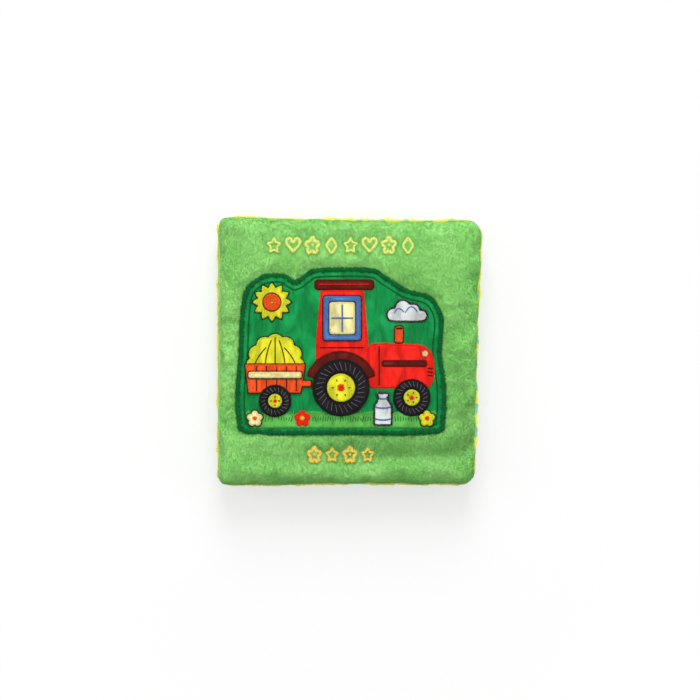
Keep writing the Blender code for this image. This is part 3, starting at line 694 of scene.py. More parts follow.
class Group(Tree):  # a node group with named inputs, which sets one small piece on many spots
    def __init__(self, name, source, sizes):
        self.tree = bpy.data.node_groups.new(name, "GeometryNodeTree")
        super().__init__(self.tree.nodes, self.tree.links)
        kinds = {source: "Geometry", **dict.fromkeys(sizes, "Float"), "Seed": "Int", "Finish": "Material"}
        new = self.tree.interface.new_socket
        for label, kind in kinds.items():
            new(name=label, in_out="INPUT", socket_type=f"NodeSocket{kind}")
        new(name="Result", in_out="OUTPUT", socket_type="NodeSocketGeometry")
        given = self.nodes.new("NodeGroupInput")
        self.asked = {socket.name: Value(self, socket) for socket in given.outputs if socket.name}

    def chance(self, low, high, offset):
        inputs = {2: low, 3: high, "Seed": self.asked["Seed"] + offset}
        return self.node("FunctionNodeRandomValue", {"data_type": "FLOAT"}, inputs, output=1)

    def turned(self, facing, angles):  # a direction, then turned in its own axes
        euler = self.node("ShaderNodeCombineXYZ", None, angles)
        inputs = {0: facing, 1: self.node("FunctionNodeEulerToRotation", None, {0: euler})}
        return self.node("FunctionNodeRotateRotation", {"rotation_space": "LOCAL"}, inputs)

    def marked(self, piece, name, value, domain):
        settings = {"data_type": "FLOAT", "domain": domain}
        inputs = {"Geometry": piece, "Name": name, "Value": value}
        return self.node("GeometryNodeStoreNamedAttribute", settings, inputs)

    def spread(self, spots, piece, pose, scale, offset):
        inputs = {"Points": spots, "Instance": piece, "Rotation": pose, "Scale": scale}
        many = self.node("GeometryNodeInstanceOnPoints", None, inputs)
        toned = self.marked(many, "shade", self.chance(0.0, 1.0, offset), "INSTANCE")
        real = self.node("GeometryNodeRealizeInstances", None, {0: toned})
        inputs = {"Geometry": real, "Material": self.asked["Finish"]}
        dyedPieces = self.node("GeometryNodeSetMaterial", None, inputs)
        out = self.nodes.new("NodeGroupOutput")
        self.links.new(dyedPieces.socket, out.inputs[0])
        return self.tree


def worked(made, group, **given):  # the mesh that a node group makes of an object
    modifier = made.modifiers.new("worked", "NODES")
    modifier.node_group = group
    for socket in group.interface.items_tree:
        if socket.in_out == "INPUT" and socket.name in given:
            modifier[socket.identifier] = given[socket.name]
    return settle(made)


plainStitch = dict(Pitch=0.45 * mm, Width=1.2 * mm, Arch=0.16 * mm, Thread=0.17 * mm, Slant=0.0,
                   Roll=0.0, Jitter=1.0, Sway=0.6, Lift=0.0, Drop=0.0, Seed=7)


def stitchTree():
    group = Group("stitch_row", "Path", [name for name in plainStitch if name != "Seed"])
    asked = group.asked
    curve = group.node("GeometryNodeMeshToCurve", None, {0: asked["Path"]})
    inputs = {"Curve": curve, "Length": asked["Pitch"]}
    spaced = group.node("GeometryNodeResampleCurve", {"mode": "LENGTH"}, inputs)
    half = asked["Width"] * 0.5
    left = group.node("ShaderNodeCombineXYZ", None, {1: half * -1.0, 2: asked["Lift"] - asked["Drop"]})
    crest = group.node("ShaderNodeCombineXYZ", None, {2: asked["Arch"] * 2.0})
    right = group.node("ShaderNodeCombineXYZ", None, {1: half, 2: asked["Lift"]})
    inputs = {"Resolution": 5, "Start": left, "Middle": crest, "End": right}
    strand = group.node("GeometryNodeCurveQuadraticBezier", None, inputs)
    inputs = {"Resolution": 5, "Radius": asked["Thread"]}
    section = group.node("GeometryNodeCurvePrimitiveCircle", None, inputs)
    tube = group.node("GeometryNodeCurveToMesh", None, {0: strand, 1: section, "Fill Caps": True})
    inputs = {"Vector": group.node("GeometryNodeInputTangent")}
    settings = {"axis": "X", "pivot_axis": "Z"}
    facing = group.node("FunctionNodeAlignRotationToVector", settings, inputs)
    lean = asked["Slant"] + group.chance(-0.16, 0.16, 1.0) * asked["Jitter"]
    roll = asked["Roll"] + group.chance(-0.3, 0.3, 2.0) * asked["Sway"]
    stretch = group.chance(-0.22, 0.22, 3.0) * asked["Jitter"] + 1.0
    scale = group.node("ShaderNodeCombineXYZ", None, {0: 1.0, 1: stretch, 2: stretch})
    return group.spread(spaced, tube, group.turned(facing, {0: roll, 2: lean}), scale, 4.0)


stitchRow = stitchTree()


def thread(name, paths, finish, body, *nodes, slot=None, closed=True, **sizes):
    # paths: lists of (x, y, z) points in order
    points, edges = [], []
    for path in paths:
        start, count = len(points), len(path)
        points += [tuple(p) for p in path]
        edges += [(start + k, start + (k + 1) % count) for k in range(count if closed else count - 1)]
    mesh = bpy.data.meshes.new(name)
    mesh.from_pydata(points, edges, [])
    made = worked(linked(name, mesh), stitchRow, Finish=finishes[finish], **{**plainStitch, **sizes})
    made.data.shade_smooth()
    return dress(made, finish, body, *nodes, slot=slot)


# Covers

cover = Panel(0.3 * mm, book["length"], book["headWidth"], book["footWidth"], book["foreCorner"])
liningPanel = Panel(
    2.35 * mm, book["length"] + 2 * book["flange"], book["headWidth"] + book["flange"],
    book["footWidth"] + book["flange"], book["foreCorner"] + book["flange"],
)
leafPanel = Panel(
    2.35 * mm, book["length"] - 2 * page["setback"], page["headWidth"], page["footWidth"], page["corner"],
)
plush = dict(
    perSide=50,
    levels=2,
    roll=7.0 * mm,
    crownWidth=4.0 * mm,
    crown=0.6 * mm,
    wall=2.5 * mm,
    rimGutter=2.55 * mm,
    rimBody=6.55 * mm,
    wander=1.1 * mm,
    pile=0.12 * mm,
    dent=0.35 * mm,  # how far the stitched motifs draw the plush in
    mostRise=1.6 * mm,
    hingeGap=0.2 * mm,
)
puff = dict(broad=17 * mm, rise=1.12 * mm, small=8 * mm, smallRise=0.22 * mm, seam=1.5 * mm, full=6 * mm)
moat = dict(away=8 * mm, width=4.5 * mm, rise=0.6 * mm, sink=0.55 * mm, reach=2.2 * mm)  # by the patch
pucker = dict(pitch=6.5 * mm, rise=0.3 * mm, reach=6 * mm, away=2 * mm)
patchOutline = outlines("patch_base")[0]
motifs = [f"head_motif_{k + 1}" for k in range(8)] + [f"foot_motif_{k + 1}" for k in range(4)]
motifLines = [flowing(outlines(node)[0], mm) for node in motifs]


def nearness(flat, lines, reach):  # 1 on the lines, 0 at reach and beyond
    return np.clip(1 - farFrom(np.concatenate(lines), flat) / reach, 0, 1)


def fromSeam(flat, line):  # how far each point is from a line, and how far along it
    tree = pointTree(line)
    steps = np.linalg.norm(np.roll(line, -1, axis=0) - line, axis=1)
    along = np.concatenate([[0], np.cumsum(steps)[:-1]])
    found = [tree.find((x, y, 0)) for x, y in flat]
    return np.array([f[2] for f in found]), along[[f[1] for f in found]]


creases = (  # from, to, half width and depth of each soft fold in the front cover
    ((18, -65), (70, -61), 6.5, 1.9),
    ((-54, -66), (-30, -67), 6.0, 1.2),
    ((-76, 16), (-68, 18), 4.0, 0.5),
    ((-79, 44), (-70, 47), 4.0, 0.4),
    ((62, 12), (72, 22), 7.0, 0.9),
    ((67, -14), (71, -52), 7.0, 1.1),
    ((-58, 58), (-28, 54), 4.0, 0.7),
    ((30, 50), (58, 44), 4.5, 0.9),
)
paintedShadeBands = (  # painted shade bands: from, to, half width and share of each stretch, where the pile lies away from the light
    ((-56, -57), (0, -58), 6.5, 0.45),
    ((0, -58), (66, -57), 7.5, 0.8),
    ((66, -8), (70, -52), 8.5, 0.6),
    ((60, 10), (70, 22), 8.0, 0.5),
    ((-76, 72), (-66, 72), 6.5, 0.45),
    ((-74, 16), (-66, 18), 5.0, 0.3),
    ((-44, 54), (-12, 55), 3.5, 0.4),
    ((34, 46), (60, 42), 4.5, 0.4),
)


def softly(points, stretches):  # the sum of soft bands, each along its own line
    total = np.zeros(len(points))
    for start, end, reach, most in stretches:
        a, b = np.array(start) * mm, np.array(end) * mm
        run = b - a
        share = np.clip((points[:, :2] - a) @ run / (run @ run), 0, 1)
        far = np.linalg.norm(points[:, :2] - a - share[:, None] * run, axis=1)
        total += most * np.exp(-(far / (reach * mm))**2)
    return total


def coverFace(name, side, shoulder, crown):  # the outside of a cover, stuffed, as heights above the axis
    turns = np.linspace(0, math.pi / 2, 11)
    insets = list(plush["roll"] * (1 - np.cos(turns)))
    insets += [plush["roll"] + plush["crownWidth"] * part for part in (0.5, 1.0)]
    flat, faces = skin(cover, insets, plush["perSide"])
    total = 4 * plush["perSide"]
    rolled = len(turns) * total
    rise = np.ones(len(flat))
    rise[:rolled] = np.repeat([math.sin(turn) for turn in turns], total)
    rim = ramp(flat[:, 0], plush["rimGutter"], plush["rimBody"])
    z = rim + (shoulder - rim) * rise
    z[rolled:rolled + total] += crown * 0.6
    z[rolled + total:] += crown
    xy = cover.sewn(flat, plush["wander"]) + [axis.x, axis.y]
    hold = np.zeros(len(flat))
    hold[:total] = 1.0
    if side > 0:
        under = inside(xy, patchOutline)
        seam = nearness(xy, [patchOutline], 4 * mm)
        dents = nearness(xy, motifLines, 5 * mm)
        hold = np.maximum.reduce([hold, under, seam**0.5, dents * 0.9])
        z -= np.where(under, 0, dents * plush["dent"])
    else:
        hold[rolled:] = 1.0
    made = plumped(newMesh(name, np.column_stack([xy, z]), faces), hold)
    return divided(made, plush["levels"])


def frontRelief(points, shoulder):  # puffs, creases and puckers of the front cover
    flat = points[:, :2]
    seam, along = fromSeam(flat, flowing(patchOutline, mm))
    out = 1 - inside(flat, patchOutline)
    level = np.clip((points[:, 2] - plush["rimBody"]) / (shoulder - plush["rimBody"]), 0, 1)
    dent = nearness(flat, motifLines, 4 * mm)
    puffs = clouds(points, puff["broad"], 3.1) * puff["rise"]
    puffs += clouds(points, puff["small"], 8.4) * puff["smallRise"]
    puffs *= np.clip((seam - puff["seam"]) / puff["full"], 0, 1)
    bank = np.exp(-((seam - moat["away"]) / moat["width"])**2) * moat["rise"]
    bank -= np.exp(-seam / moat["reach"]) * moat["sink"]
    pleats = np.sin(along * 2 * math.pi / pucker["pitch"] + 2.5 * clouds(points, 20 * mm, 6.1))
    pleats *= pucker["rise"] * np.exp(-seam / pucker["reach"]) * np.clip(seam / pucker["away"], 0, 1)
    folds = softly(points, creases) * mm * np.clip(seam / (3 * mm), 0, 1)
    return (puffs + bank + pleats - folds) * out * level * (1 - dent) - dent * plush["dent"] * out


def paintedShadeOf(points, side):  # 0 to 1: how much painted shade the pile gets: along the foot edge, with random lighter and darker spots, and on the front by the patch seam, around the stitched motifs and in the painted shade bands
    flat = points[:, :2]
    foot = np.clip((-70 * mm - points[:, 1]) / (4 * mm), 0, 1)
    edge = nearness(flat, [cover.sewn(cover.ring(0, 60)) + [axis.x, axis.y]], 6 * mm)
    paintedShade = edge * foot * 0.8 - clouds(points, 14 * mm, 2.2) * 0.25
    if side > 0:
        seam = nearness(flat, [flowing(patchOutline, mm)], 4.5 * mm)
        paintedShade = np.maximum(paintedShade, 0) + seam * 0.3 + nearness(flat, motifLines, 2.4 * mm) * 0.85
        paintedShade += softly(points, paintedShadeBands)
    return np.clip(paintedShade, 0, 1)


def backed(shape, inner):  # adds the rim, the inner wall and the inner face
    edge = [e for e in shape.edges if e.is_boundary]
    middle = Vector((axis.x + book["headWidth"] / 2, axis.y, 0))
    for walled, step in ((False, plush["wall"]), (True, plush["roll"] - plush["wall"])):
        grown = bmesh.ops.extrude_edge_only(shape, edges=edge)["geom"]
        for vert in (g for g in grown if isinstance(g, bmesh.types.BMVert)):
            toward = middle - vert.co
            vert.co.x += math.copysign(min(step, abs(toward.x)), toward.x) * (abs(toward.x) > 60 * mm)
            vert.co.y += math.copysign(min(step, abs(toward.y)), toward.y) * (abs(toward.y) > 60 * mm)
            level = ramp(vert.co.x - axis.x, plush["rimGutter"] + 0.1 * mm, plush["rimBody"] + 0.1 * mm)
            vert.co.z = inner if walled else max(vert.co.z, level)
        edge = [g for g in grown if isinstance(g, bmesh.types.BMEdge)]
    bmesh.ops.contextual_create(shape, geom=edge)


def plushShell(prefix, body, side):
    low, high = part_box(f"{prefix}_plush")
    tall = max(abs(low.z - axis.z), abs(high.z - axis.z))  # face above the axis
    crown = plush["crown"] if side > 0 else 0.0
    shoulder = tall - crown
    made = coverFace(f"{prefix}_cover_plush", side, shoulder, crown)
    mesh = made.data
    points, ways = places(mesh), normals(mesh)
    if side > 0:
        points += ways * frontRelief(points, shoulder)[:, None]
    tufts = clouds(points, 2.4 * mm, 1.7) * 0.6 + clouds(points, 1.1 * mm, 5.2)
    if side < 0:  # pressed flat on the table
        tufts *= np.clip((shoulder - points[:, 2]) / (1.5 * mm), 0, 1)
    points += ways * tufts[:, None] * plush["pile"]
    points[:, 2] = np.minimum(points[:, 2], tall + (plush["mostRise"] if side > 0 else 0.0))
    points[:, 0] = np.maximum(points[:, 0], axis.x + plush["hingeGap"])  # leaves the turn free
    mesh.vertices.foreach_set("co", points.ravel())
    mesh.update()
    shape = bmesh.new()
    shape.from_mesh(mesh)
    # each vertex carries its painted shade for the plush finish
    layer = shape.verts.layers.float.new("hollow")
    for vert, value in zip(shape.verts, paintedShadeOf(points, side)):
        vert[layer] = value
    backed(shape, shoulder - plush["wall"])
    for vert in shape.verts:
        vert.co.z = axis.z + side * vert.co.z
    shape.to_mesh(mesh)
    shape.free()
    outward(made)
    mesh.shade_smooth()
    dress(made, "plush", body, f"{prefix}_plush")
    return made


frontPlush = plushShell("front", "front_cover", 1)
backPlush = plushShell("back", "back_cover", -1)
report("plush covers stuffed")


pile = dict(
    density=2.6e6,
    length=1.1 * mm,
    radius=0.2 * mm,
    lean=1.15,
    comb=0.8,
    swirl=9.0 * mm,
    trimmed=3.0 * mm,
    begins=3.4 * mm,  # height above the seam at which the pile begins
    underPatch=0.8 * mm,
    hinge=0.3 * mm,  # from here the pile grows longer away from the hinge, the rim and the table
    rim=1.4 * mm,
    table=0.6 * mm,
    stitches=2.0 * mm,
    floor=0.02 * mm,
)


def pileTree():
    group = Group("plush_pile", "Skin", ("Density", "Length", "Radius", "Lean", "Comb"))
    asked = group.asked
    inputs = {"Mesh": asked["Skin"], "Density": asked["Density"], "Seed": asked["Seed"]}
    spots = group.node("GeometryNodeDistributePointsOnFaces", None, inputs)
    inputs = {"Vertices": 3, "Radius Top": 0.0, "Radius Bottom": asked["Radius"], "Depth": asked["Length"]}
    cone = group.node("GeometryNodeMeshCone", {"fill_type": "NGON"}, inputs)
    inputs = {0: group.node("GeometryNodeInputPosition")}
    z = group.node("ShaderNodeSeparateXYZ", None, inputs, output=2)
    tuft = group.marked(cone, "tip", z.math("DIVIDE", asked["Length"]), "POINT")
    inputs = {"Vector": Value(group, spots.socket.node.outputs["Normal"])}
    facing = group.node("FunctionNodeAlignRotationToVector", {"axis": "Z"}, inputs)
    swirl = group.node("ShaderNodeTexNoise", None, {"Scale": 1 / pile["swirl"], "Detail": 1.0})
    way = (swirl - 0.5) * asked["Comb"] + group.chance(-0.5, 0.5, 3.0)
    lean = asked["Lean"] * group.chance(0.7, 1.2, 4.0)
    trim = group.node("GeometryNodeInputNamedAttribute", {"data_type": "FLOAT"}, {0: "trim"})
    scale = group.chance(0.6, 1.25, 1.0) * trim
    return group.spread(spots, tuft, group.turned(facing, {0: lean, 2: way}), scale, 2.0)


pileNodes = pileTree()


def furred(shell, body, side, seed):  # tufts on the outside of a cover, kept clear of seam and patch
    shape = bmesh.new()
    shape.from_mesh(shell.data)
    rim = axis.z + side * pile["begins"]
    kept, bare = [], []
    for face in shape.faces:
        middle = face.calc_center_median()
        outside = face.normal.z * side > -0.35 and (middle.z - rim) * side > 0
        table = side < 0 and middle.z < 0.5 * mm
        grows = outside and not table and len(face.verts) <= 4
        (kept if grows else bare).append(face)
    if side > 0:
        line = inward(flowing(patchOutline, 2 * mm), pile["underPatch"])
        middles = np.array([face.calc_center_median()[:2] for face in kept])
        bare += [face for face, hidden in zip(kept, inside(middles, line)) if hidden]
    bmesh.ops.delete(shape, geom=bare, context="FACES")
    trim = shape.verts.layers.float.new("trim")
    beside = np.zeros(len(shape.verts))
    if side > 0:
        beside = nearness([vert.co[:2] for vert in shape.verts], motifLines, pile["stitches"])
    for vert, sewn in zip(shape.verts, beside):  # short by the hinge, the rim, the table and stitches
        hinge = 0.2 + max(0.0, vert.co.x - axis.x - pile["hinge"]) / pile["trimmed"]
        clear = (vert.co.z - rim) * side + pile["rim"]
        if side < 0:
            clear = min(clear, vert.co.z + pile["table"])
        vert[trim] = min(1.0, hinge, 0.5 + max(0.0, clear) / pile["trimmed"]) * (1 - 0.6 * sewn)
    made = newMesh(f"{shell.name}_pile", [], [])
    shape.to_mesh(made.data)
    shape.free()
    sizes = {name.title(): pile[name] for name in ("density", "length", "radius", "lean", "comb")}
    worked(made, pileNodes, Seed=seed, Finish=finishes["plush"], **sizes)
    points = places(made.data)
    points[:, 2] = np.maximum(points[:, 2], pile["floor"])  # no tuft goes through the table
    made.data.vertices.foreach_set("co", points.ravel())
    made.data.shade_smooth()
    dress(made, "plush", body, slot="green_plush")
    report(f"{made.name}: {len(made.data.polygons)} faces")


furred(frontPlush, "front_cover", 1, 11)
furred(backPlush, "back_cover", -1, 12)
report("pile raised")


liningCloth = dict(thickness=0.55 * mm, wrinkle=0.12 * mm, fray=1.3 * mm, perSide=110)
pageCloth = dict(thickness=0.45 * mm, wrinkle=0.16 * mm, fray=0.25 * mm, perSide=90)


def sheetOf(name, panel, node, body, finish, lower, side, look):
    # one sheet of cloth over a panel; lower gives its underside from x and the inset
    thickness, wrinkle, fray, perSide = look.values()
    roll = page["roll"]
    insets = [0.0, roll * 0.15, roll * 0.4, roll * 0.7, roll]
    flat, faces = skin(panel, insets, perSide)
    total = 4 * perSide
    inset = np.full(len(flat), roll)
    inset[:len(insets) * total] = np.repeat(insets, total)
    points = np.column_stack([panel.sewn(flat) + [axis.x, axis.y], lower(flat[:, 0], inset)])
    reach = np.clip(inset / roll, 0, 1) * np.clip((flat[:, 0] - book["gutterFlat"]) / (12 * mm), 0, 1)
    creases = clouds(points, 17 * mm, side * 3.3) + 0.5 * clouds(points, 7 * mm, side * 1.3)
    points[:, 2] += creases * wrinkle * reach
    rim = inset < roll * 0.1
    torn = clouds(points, 14 * mm, 7.7) + 0.7 * clouds(points, 6 * mm, 9.1)
    torn += 0.6 * clouds(points, 1.7 * mm, 3.7)
    frill = np.clip(torn + 0.35, -0.3, 1.2) * fray * rim
    away = points[:, :2] - points[:, :2].mean(axis=0)
    away /= np.linalg.norm(away, axis=1, keepdims=True)
    frill *= np.clip((flat[:, 0] - book["gutterFlat"]) / (7 * mm), 0, 1)
    low = np.exp(-((flat[:, 1] - book["peekAt"]) / book["peekSpan"])**2) * rim
    frill += fray * book["peek"] * low * np.clip((flat[:, 0] - panel.headWidth) / (2 * mm) + 1, 0, 1)
    points[:, :2] += away * frill[:, None]
    count = len(points)
    over = points + [0, 0, thickness]
    walls = [(k, (k + 1) % total, (k + 1) % total + count, k + count) for k in range(total)]
    both = [tuple(reversed(f)) for f in faces] + [tuple(k + count for k in f) for f in faces] + walls
    stack = np.concatenate([points, over])
    stack[:, 2] = axis.z + side * stack[:, 2]
    made = outward(newMesh(name, stack, both))
    made.data.shade_smooth()
    made.data.set_sharp_from_angle(angle=math.radians(60))
    dress(made, finish, body, node)
    2 * panel.half
    return made


coverSides = (("front", "front_cover", 1), ("back", "back_cover", -1))
leafSides = (("first_leaf", 1), ("second_leaf", -1))
linings = {}
for prefix, body, side in coverSides:
    linings[prefix] = sheetOf(
        f"{prefix}_cover_lining", liningPanel, f"{prefix}_lining", body, "lining",
        lambda x, inset: ramp(x, 1.75 * mm, 5.66 * mm), side, liningCloth,
    )


def stuffedPage(gutterZ, rimZ, faceZ):  # the underside of one of a leaf's two cloths
    def lower(x, inset):
        rise = np.sin(math.pi / 2 * np.minimum(inset / page["roll"], 1))
        return ramp(x, gutterZ, rimZ + (faceZ - rimZ) * rise)
    return lower


near = stuffedPage(0.15 * mm, 2.1 * mm, 0.2 * mm)
far = stuffedPage(0.95 * mm, 2.9 * mm, 4.75 * mm)
pageDyes = dict(front="sun", back="sky")
pages = []
for prefix, side in leafSides:
    for name, lower in zip(("back", "front") if side > 0 else ("front", "back"), (near, far)):
        made = sheetOf(f"{prefix}_{name}_page", leafPanel, f"{prefix}_{name}_cloth", prefix,
                       pageDyes[name], lower, side, pageCloth)
        pages.append((made, prefix, side if lower is far else -side))
report("lining and pages laid")


# Patch and picture

dyed = {
    "meadow": "meadow", "tractor_bonnet": "red", "tractor_cab": "red", "tractor_roof": "maroon",
    "hay_load": "yellow", "sun": "yellow", "cloud": "white", "tractor_exhaust": "orange",
    "tractor_fender": "maroon", "window_frame": "blue", "window_pane": "cream", "trailer_box": "orange",
    "bonnet_stripe": "maroon", "milk_churn": "white", "trailer_slat": "cream", "flower_left": "cream",
    "flower_middle": "red", "flower_right": "yellow", "rear_tyre": "black", "rear_hub": "yellow",
    "front_tyre": "black", "front_hub": "yellow", "trailer_tyre": "black", "trailer_hub": "yellow",
}
patchCloth = dict(pillow=0.3 * mm, waves=0.24 * mm, pucker=0.2 * mm, pleat=4.5 * mm)
patchDepth = 0.3 * mm
cut = dict(step=0.8 * mm, sink=0.35 * mm, deepSink=1.0 * mm, least=10 * mm)
edging = dict(Pitch=0.34 * mm, Width=1.35 * mm, Thread=0.17 * mm, Drop=0.6 * mm, Arch=0.22 * mm)
edgeOver = 0.35 * mm  # how far a satin edge stands past its cloth
outlined = dict(Pitch=0.5 * mm, Width=0.55 * mm, Thread=0.2 * mm)
outlinedDyes = ("yellow", "cream", "orange", "blue")
face, patchTop = topOf("front_plush"), topOf("patch_base")
plushTop = BVHTree.FromObject(frontPlush, bpy.context.evaluated_depsgraph_get())


def plushHeight(x, y):
    hit = plushTop.ray_cast(Vector((x, y, 0.1)), Vector((0, 0, -1)))[0]
    return hit.z if hit else face


def laid(cloth, size, under):
    tuple(float(v) for v in size)


patch = stitched("patch_satin", [flowing(patchOutline, 1.5 * mm)], face - patchDepth, patchTop, "patch",
                 "front_cover", "patch_base", **patchCloth)
laid(patch, np.ptp(patchOutline, axis=0), "front_cover_plush")


def sewOn(index, node, dye):  # one cut of the picture, with its satin edge
    lines = [flowing(line, cut["step"]) for line in outlines(node)]
    low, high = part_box(node)
    sink = cut["sink"] if low.z < patchTop + 0.5 * mm else cut["deepSink"]
    base = max(low.z - sink, patchTop - 0.1 * mm)
    cloth = stitched(f"{node}_satin", lines, base, high.z, dye, "front_cover", node)
    size = np.ptp(lines[0], axis=0)
    if min(size) >= cut["least"]:
        laid(cloth, size, "patch_satin")
    paths = [[(x, y, high.z - 0.2 * mm) for x, y in inward(line, edging["Width"] / 2 - edgeOver)]
             for line in lines]
    colour = "black" if dye == "white" else dye
    thread(f"{node}_edging", paths, f"{colour}_thread", "front_cover", slot=slotNames[node],
           Seed=20 + index, **edging)
    if dye in outlinedDyes:
        path = [(x, y, low.z) for x, y in inward(lines[0], -edgeOver - 0.15 * mm)]
        thread(f"{node}_outline", [path], "black_thread", "front_cover", slot=slotNames["rear_tyre"],
               Seed=70 + index, **outlined)


for index, (node, dye) in enumerate(dyed.items()):
    sewOn(index, node, dye)
report("picture sewn on")


# Embroidered lines on the picture, placed by shares of each piece's box

def on(node, u, v, lift=0.06 * mm):
    low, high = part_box(node)
    return (low.x + (high.x - low.x) * u, low.y + (high.y - low.y) * v, high.z + lift)


def circle(x, y, radius, count):
    angles = np.linspace(0, 2 * math.pi, count + 1)[:-1]
    return [(x + radius * math.cos(a), y + radius * math.sin(a)) for a in angles]


def ringOn(node, share, count=48):
    return [on(node, u, v) for u, v in circle(0.5, 0.5, share / 2, count)]


def lineOn(node, *shares, steps=14):
    ends = np.array(shares, float)
    if len(ends) == 3:  # a bent line through its middle point
        t = np.linspace(0, 1, steps)
        bend = 2 * ends[1] - (ends[0] + ends[2]) / 2
        spots = np.outer((1 - t)**2, ends[0]) + np.outer(2 * t * (1 - t), bend) + np.outer(t * t, ends[2])
    else:
        spots = np.linspace(*ends, steps)
    return [on(node, *spot) for spot in spots]


fineLine = dict(Pitch=0.3 * mm, Width=0.55 * mm, Thread=0.16 * mm, Arch=0.14 * mm)
broad = dict(Width=0.9 * mm)
likeDyed = dict(maroon="tractor_roof", orange="trailer_box", tread="rear_tyre", red="tractor_cab",
                cream="window_pane", blue="window_frame", black="rear_tyre", border="patch_border",
                meadow="meadow")


def sew(name, dye, paths, closed=False, like=None, **sizes):  # like: a piece whose material slot is looked up; the slot is not used
    thread(name, paths, f"{dye}_thread", "front_cover", slot=slotNames[like or likeDyed[dye]],
           closed=closed, Seed=sum(map(ord, name)), **{**fineLine, **sizes})


drawn = {  # thread, the piece it is on, sizes, and its lines in shares of that piece's box
    "hay_straws": ("maroon", "hay_load", {}, (
        ((0.14, 0.04), (0.17, 0.32), (0.34, 0.66)), ((0.32, 0.04), (0.35, 0.45), (0.43, 0.84)),
        ((0.5, 0.04), (0.5, 0.92)),
        ((0.68, 0.04), (0.65, 0.45), (0.57, 0.84)), ((0.86, 0.04), (0.83, 0.32), (0.66, 0.66)),
    )),
    "trailer_planks": ("maroon", "trailer_box", {}, [
        ((u, 0.06), (u, 0.94)) for u in (0.17, 0.32, 0.48, 0.63, 0.78)
    ]),
    "bonnet_grille": ("maroon", "tractor_bonnet", dict(Width=0.7 * mm), [
        ((0.9, v), (0.97, v - 0.01)) for v in (0.28, 0.36, 0.44)
    ]),
    "bonnet_seam": ("maroon", "tractor_bonnet", {}, [((0.16, 0.06), (0.16, 0.94))]),
    "cab_door": ("maroon", "tractor_cab", {}, (((0.08, 0.32), (0.92, 0.32)), ((0.3, 0.2), (0.46, 0.2)))),
    "window_bars": ("blue", "window_pane", broad, (((0.5, 0.08), (0.5, 0.92)), ((0.08, 0.5), (0.92, 0.5)))),
    "churn_bands": ("blue", "milk_churn", broad, (
        ((0.1, 0.2), (0.5, 0.17), (0.9, 0.2)), ((0.1, 0.56), (0.5, 0.53), (0.9, 0.56)),
        ((0.3, 0.82), (0.5, 0.81), (0.7, 0.82)),
    )),
    "cloud_curls": ("blue", "cloud", {}, (
        ((0.2, 0.42), (0.3, 0.6), (0.42, 0.45)), ((0.46, 0.42), (0.6, 0.68), (0.74, 0.46)),
    )),
    "roof_ridge": ("red", "tractor_roof", {}, [((0.08, 0.55), (0.92, 0.55))]),
    "exhaust_cap": ("black", "tractor_exhaust", broad, [((0.12, 0.9), (0.88, 0.9))]),
}
for name, (dye, node, sizes, lines) in drawn.items():
    sew(name, dye, [lineOn(node, *line) for line in lines], **sizes)
sew("sun_centre", "orange", [ringOn("sun", share) for share in (0.1, 0.24, 0.38)], closed=True,
    Width=1.8 * mm, Arch=0.35 * mm, Slant=0.6)
sew("sun_ring", "maroon", [ringOn("sun", 0.48)], closed=True)
lamp = [on("tractor_bonnet", 0.86 + 0.028 * x, 0.77 + 0.04 * y) for x, y in circle(0, 0, 1, 24)]
sew("bonnet_lamp", "cream", [lamp], closed=True, Width=1.3 * mm, Arch=0.35 * mm)


def halfWidth(node):
    low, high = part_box(node)
    return (high.x - low.x) / 2


wheels = dict(rear=(0.76, 6, 2.9 * mm), front=(0.76, 5, 2.4 * mm), trailer=(0.74, 4, 2.3 * mm))
for wheel, (share, bolts, grip) in wheels.items():
    sew(f"{wheel}_tread", "tread", [ringOn(f"{wheel}_tyre", share, 90)], closed=True, Pitch=grip,
        Width=halfWidth(f"{wheel}_tyre") * 0.3, Thread=0.2 * mm, Slant=0.35, Jitter=0.4)
    radius = halfWidth(f"{wheel}_hub")
    sew(f"{wheel}_hub_bolts", "maroon", [ringOn(f"{wheel}_hub", 0.6, 60)], closed=True,
        Pitch=radius * 0.6 * 2 * math.pi / bolts, Width=0.9 * mm, Thread=0.36 * mm, Jitter=0.5)
    sew(f"{wheel}_hub_cap", "red", [ringOn(f"{wheel}_hub", 0.14)], closed=True, Width=radius * 0.3,
        Arch=0.3 * mm)


def clearOf(path, nodes, margin):  # the stretches of a path that keep clear of the given pieces
    lines = [flowing(outlines(node)[0], mm) for node in nodes]
    flat = np.array([p[:2] for p in path])
    covered = nearness(flat, lines, margin) > 0
    for line in lines:
        covered |= inside(flat, line)
    runs = [[]]
    for point, hidden in zip(path, covered):
        if hidden:
            runs.append([])
        else:
            runs[-1].append(point)
    return [run for run in runs if len(run) > 2]


inGrass = ("rear_tyre", "front_tyre", "trailer_tyre", "milk_churn", "flower_left", "flower_middle",
           "flower_right")
grass = dict(Width=2.6 * mm, Thread=0.2 * mm, Jitter=2.0, Sway=0.1)
for name, dye, v, pitch in (("blades", "border", 0.52, 1.5 * mm), ("tips", "meadow", 0.84, 1.1 * mm)):
    row = lineOn("meadow", (0.04, v), (0.96, v), steps=240)
    sew(f"grass_{name}", dye, clearOf(row, inGrass, 1.6 * mm), Pitch=pitch, **grass)
for flower, dye in (("left", "orange"), ("middle", "yellow"), ("right", "red")):
    sew(f"flower_{flower}_centre", dye, [ringOn(f"flower_{flower}", 0.14, 20)], closed=True,
        like=f"flower_{flower}", Width=1.5 * mm, Arch=0.4 * mm)
border = dict(Pitch=0.4 * mm, Width=3.1 * mm, Arch=0.42 * mm, Thread=0.24 * mm, Lift=-0.35 * mm,
              Jitter=1.3, Seed=3)


def roundPatch(step, inset, lift):
    line = flowing(inward(flowing(patchOutline, step), inset), mm)
    return [[(x, y, patchTop + lift) for x, y in line]]


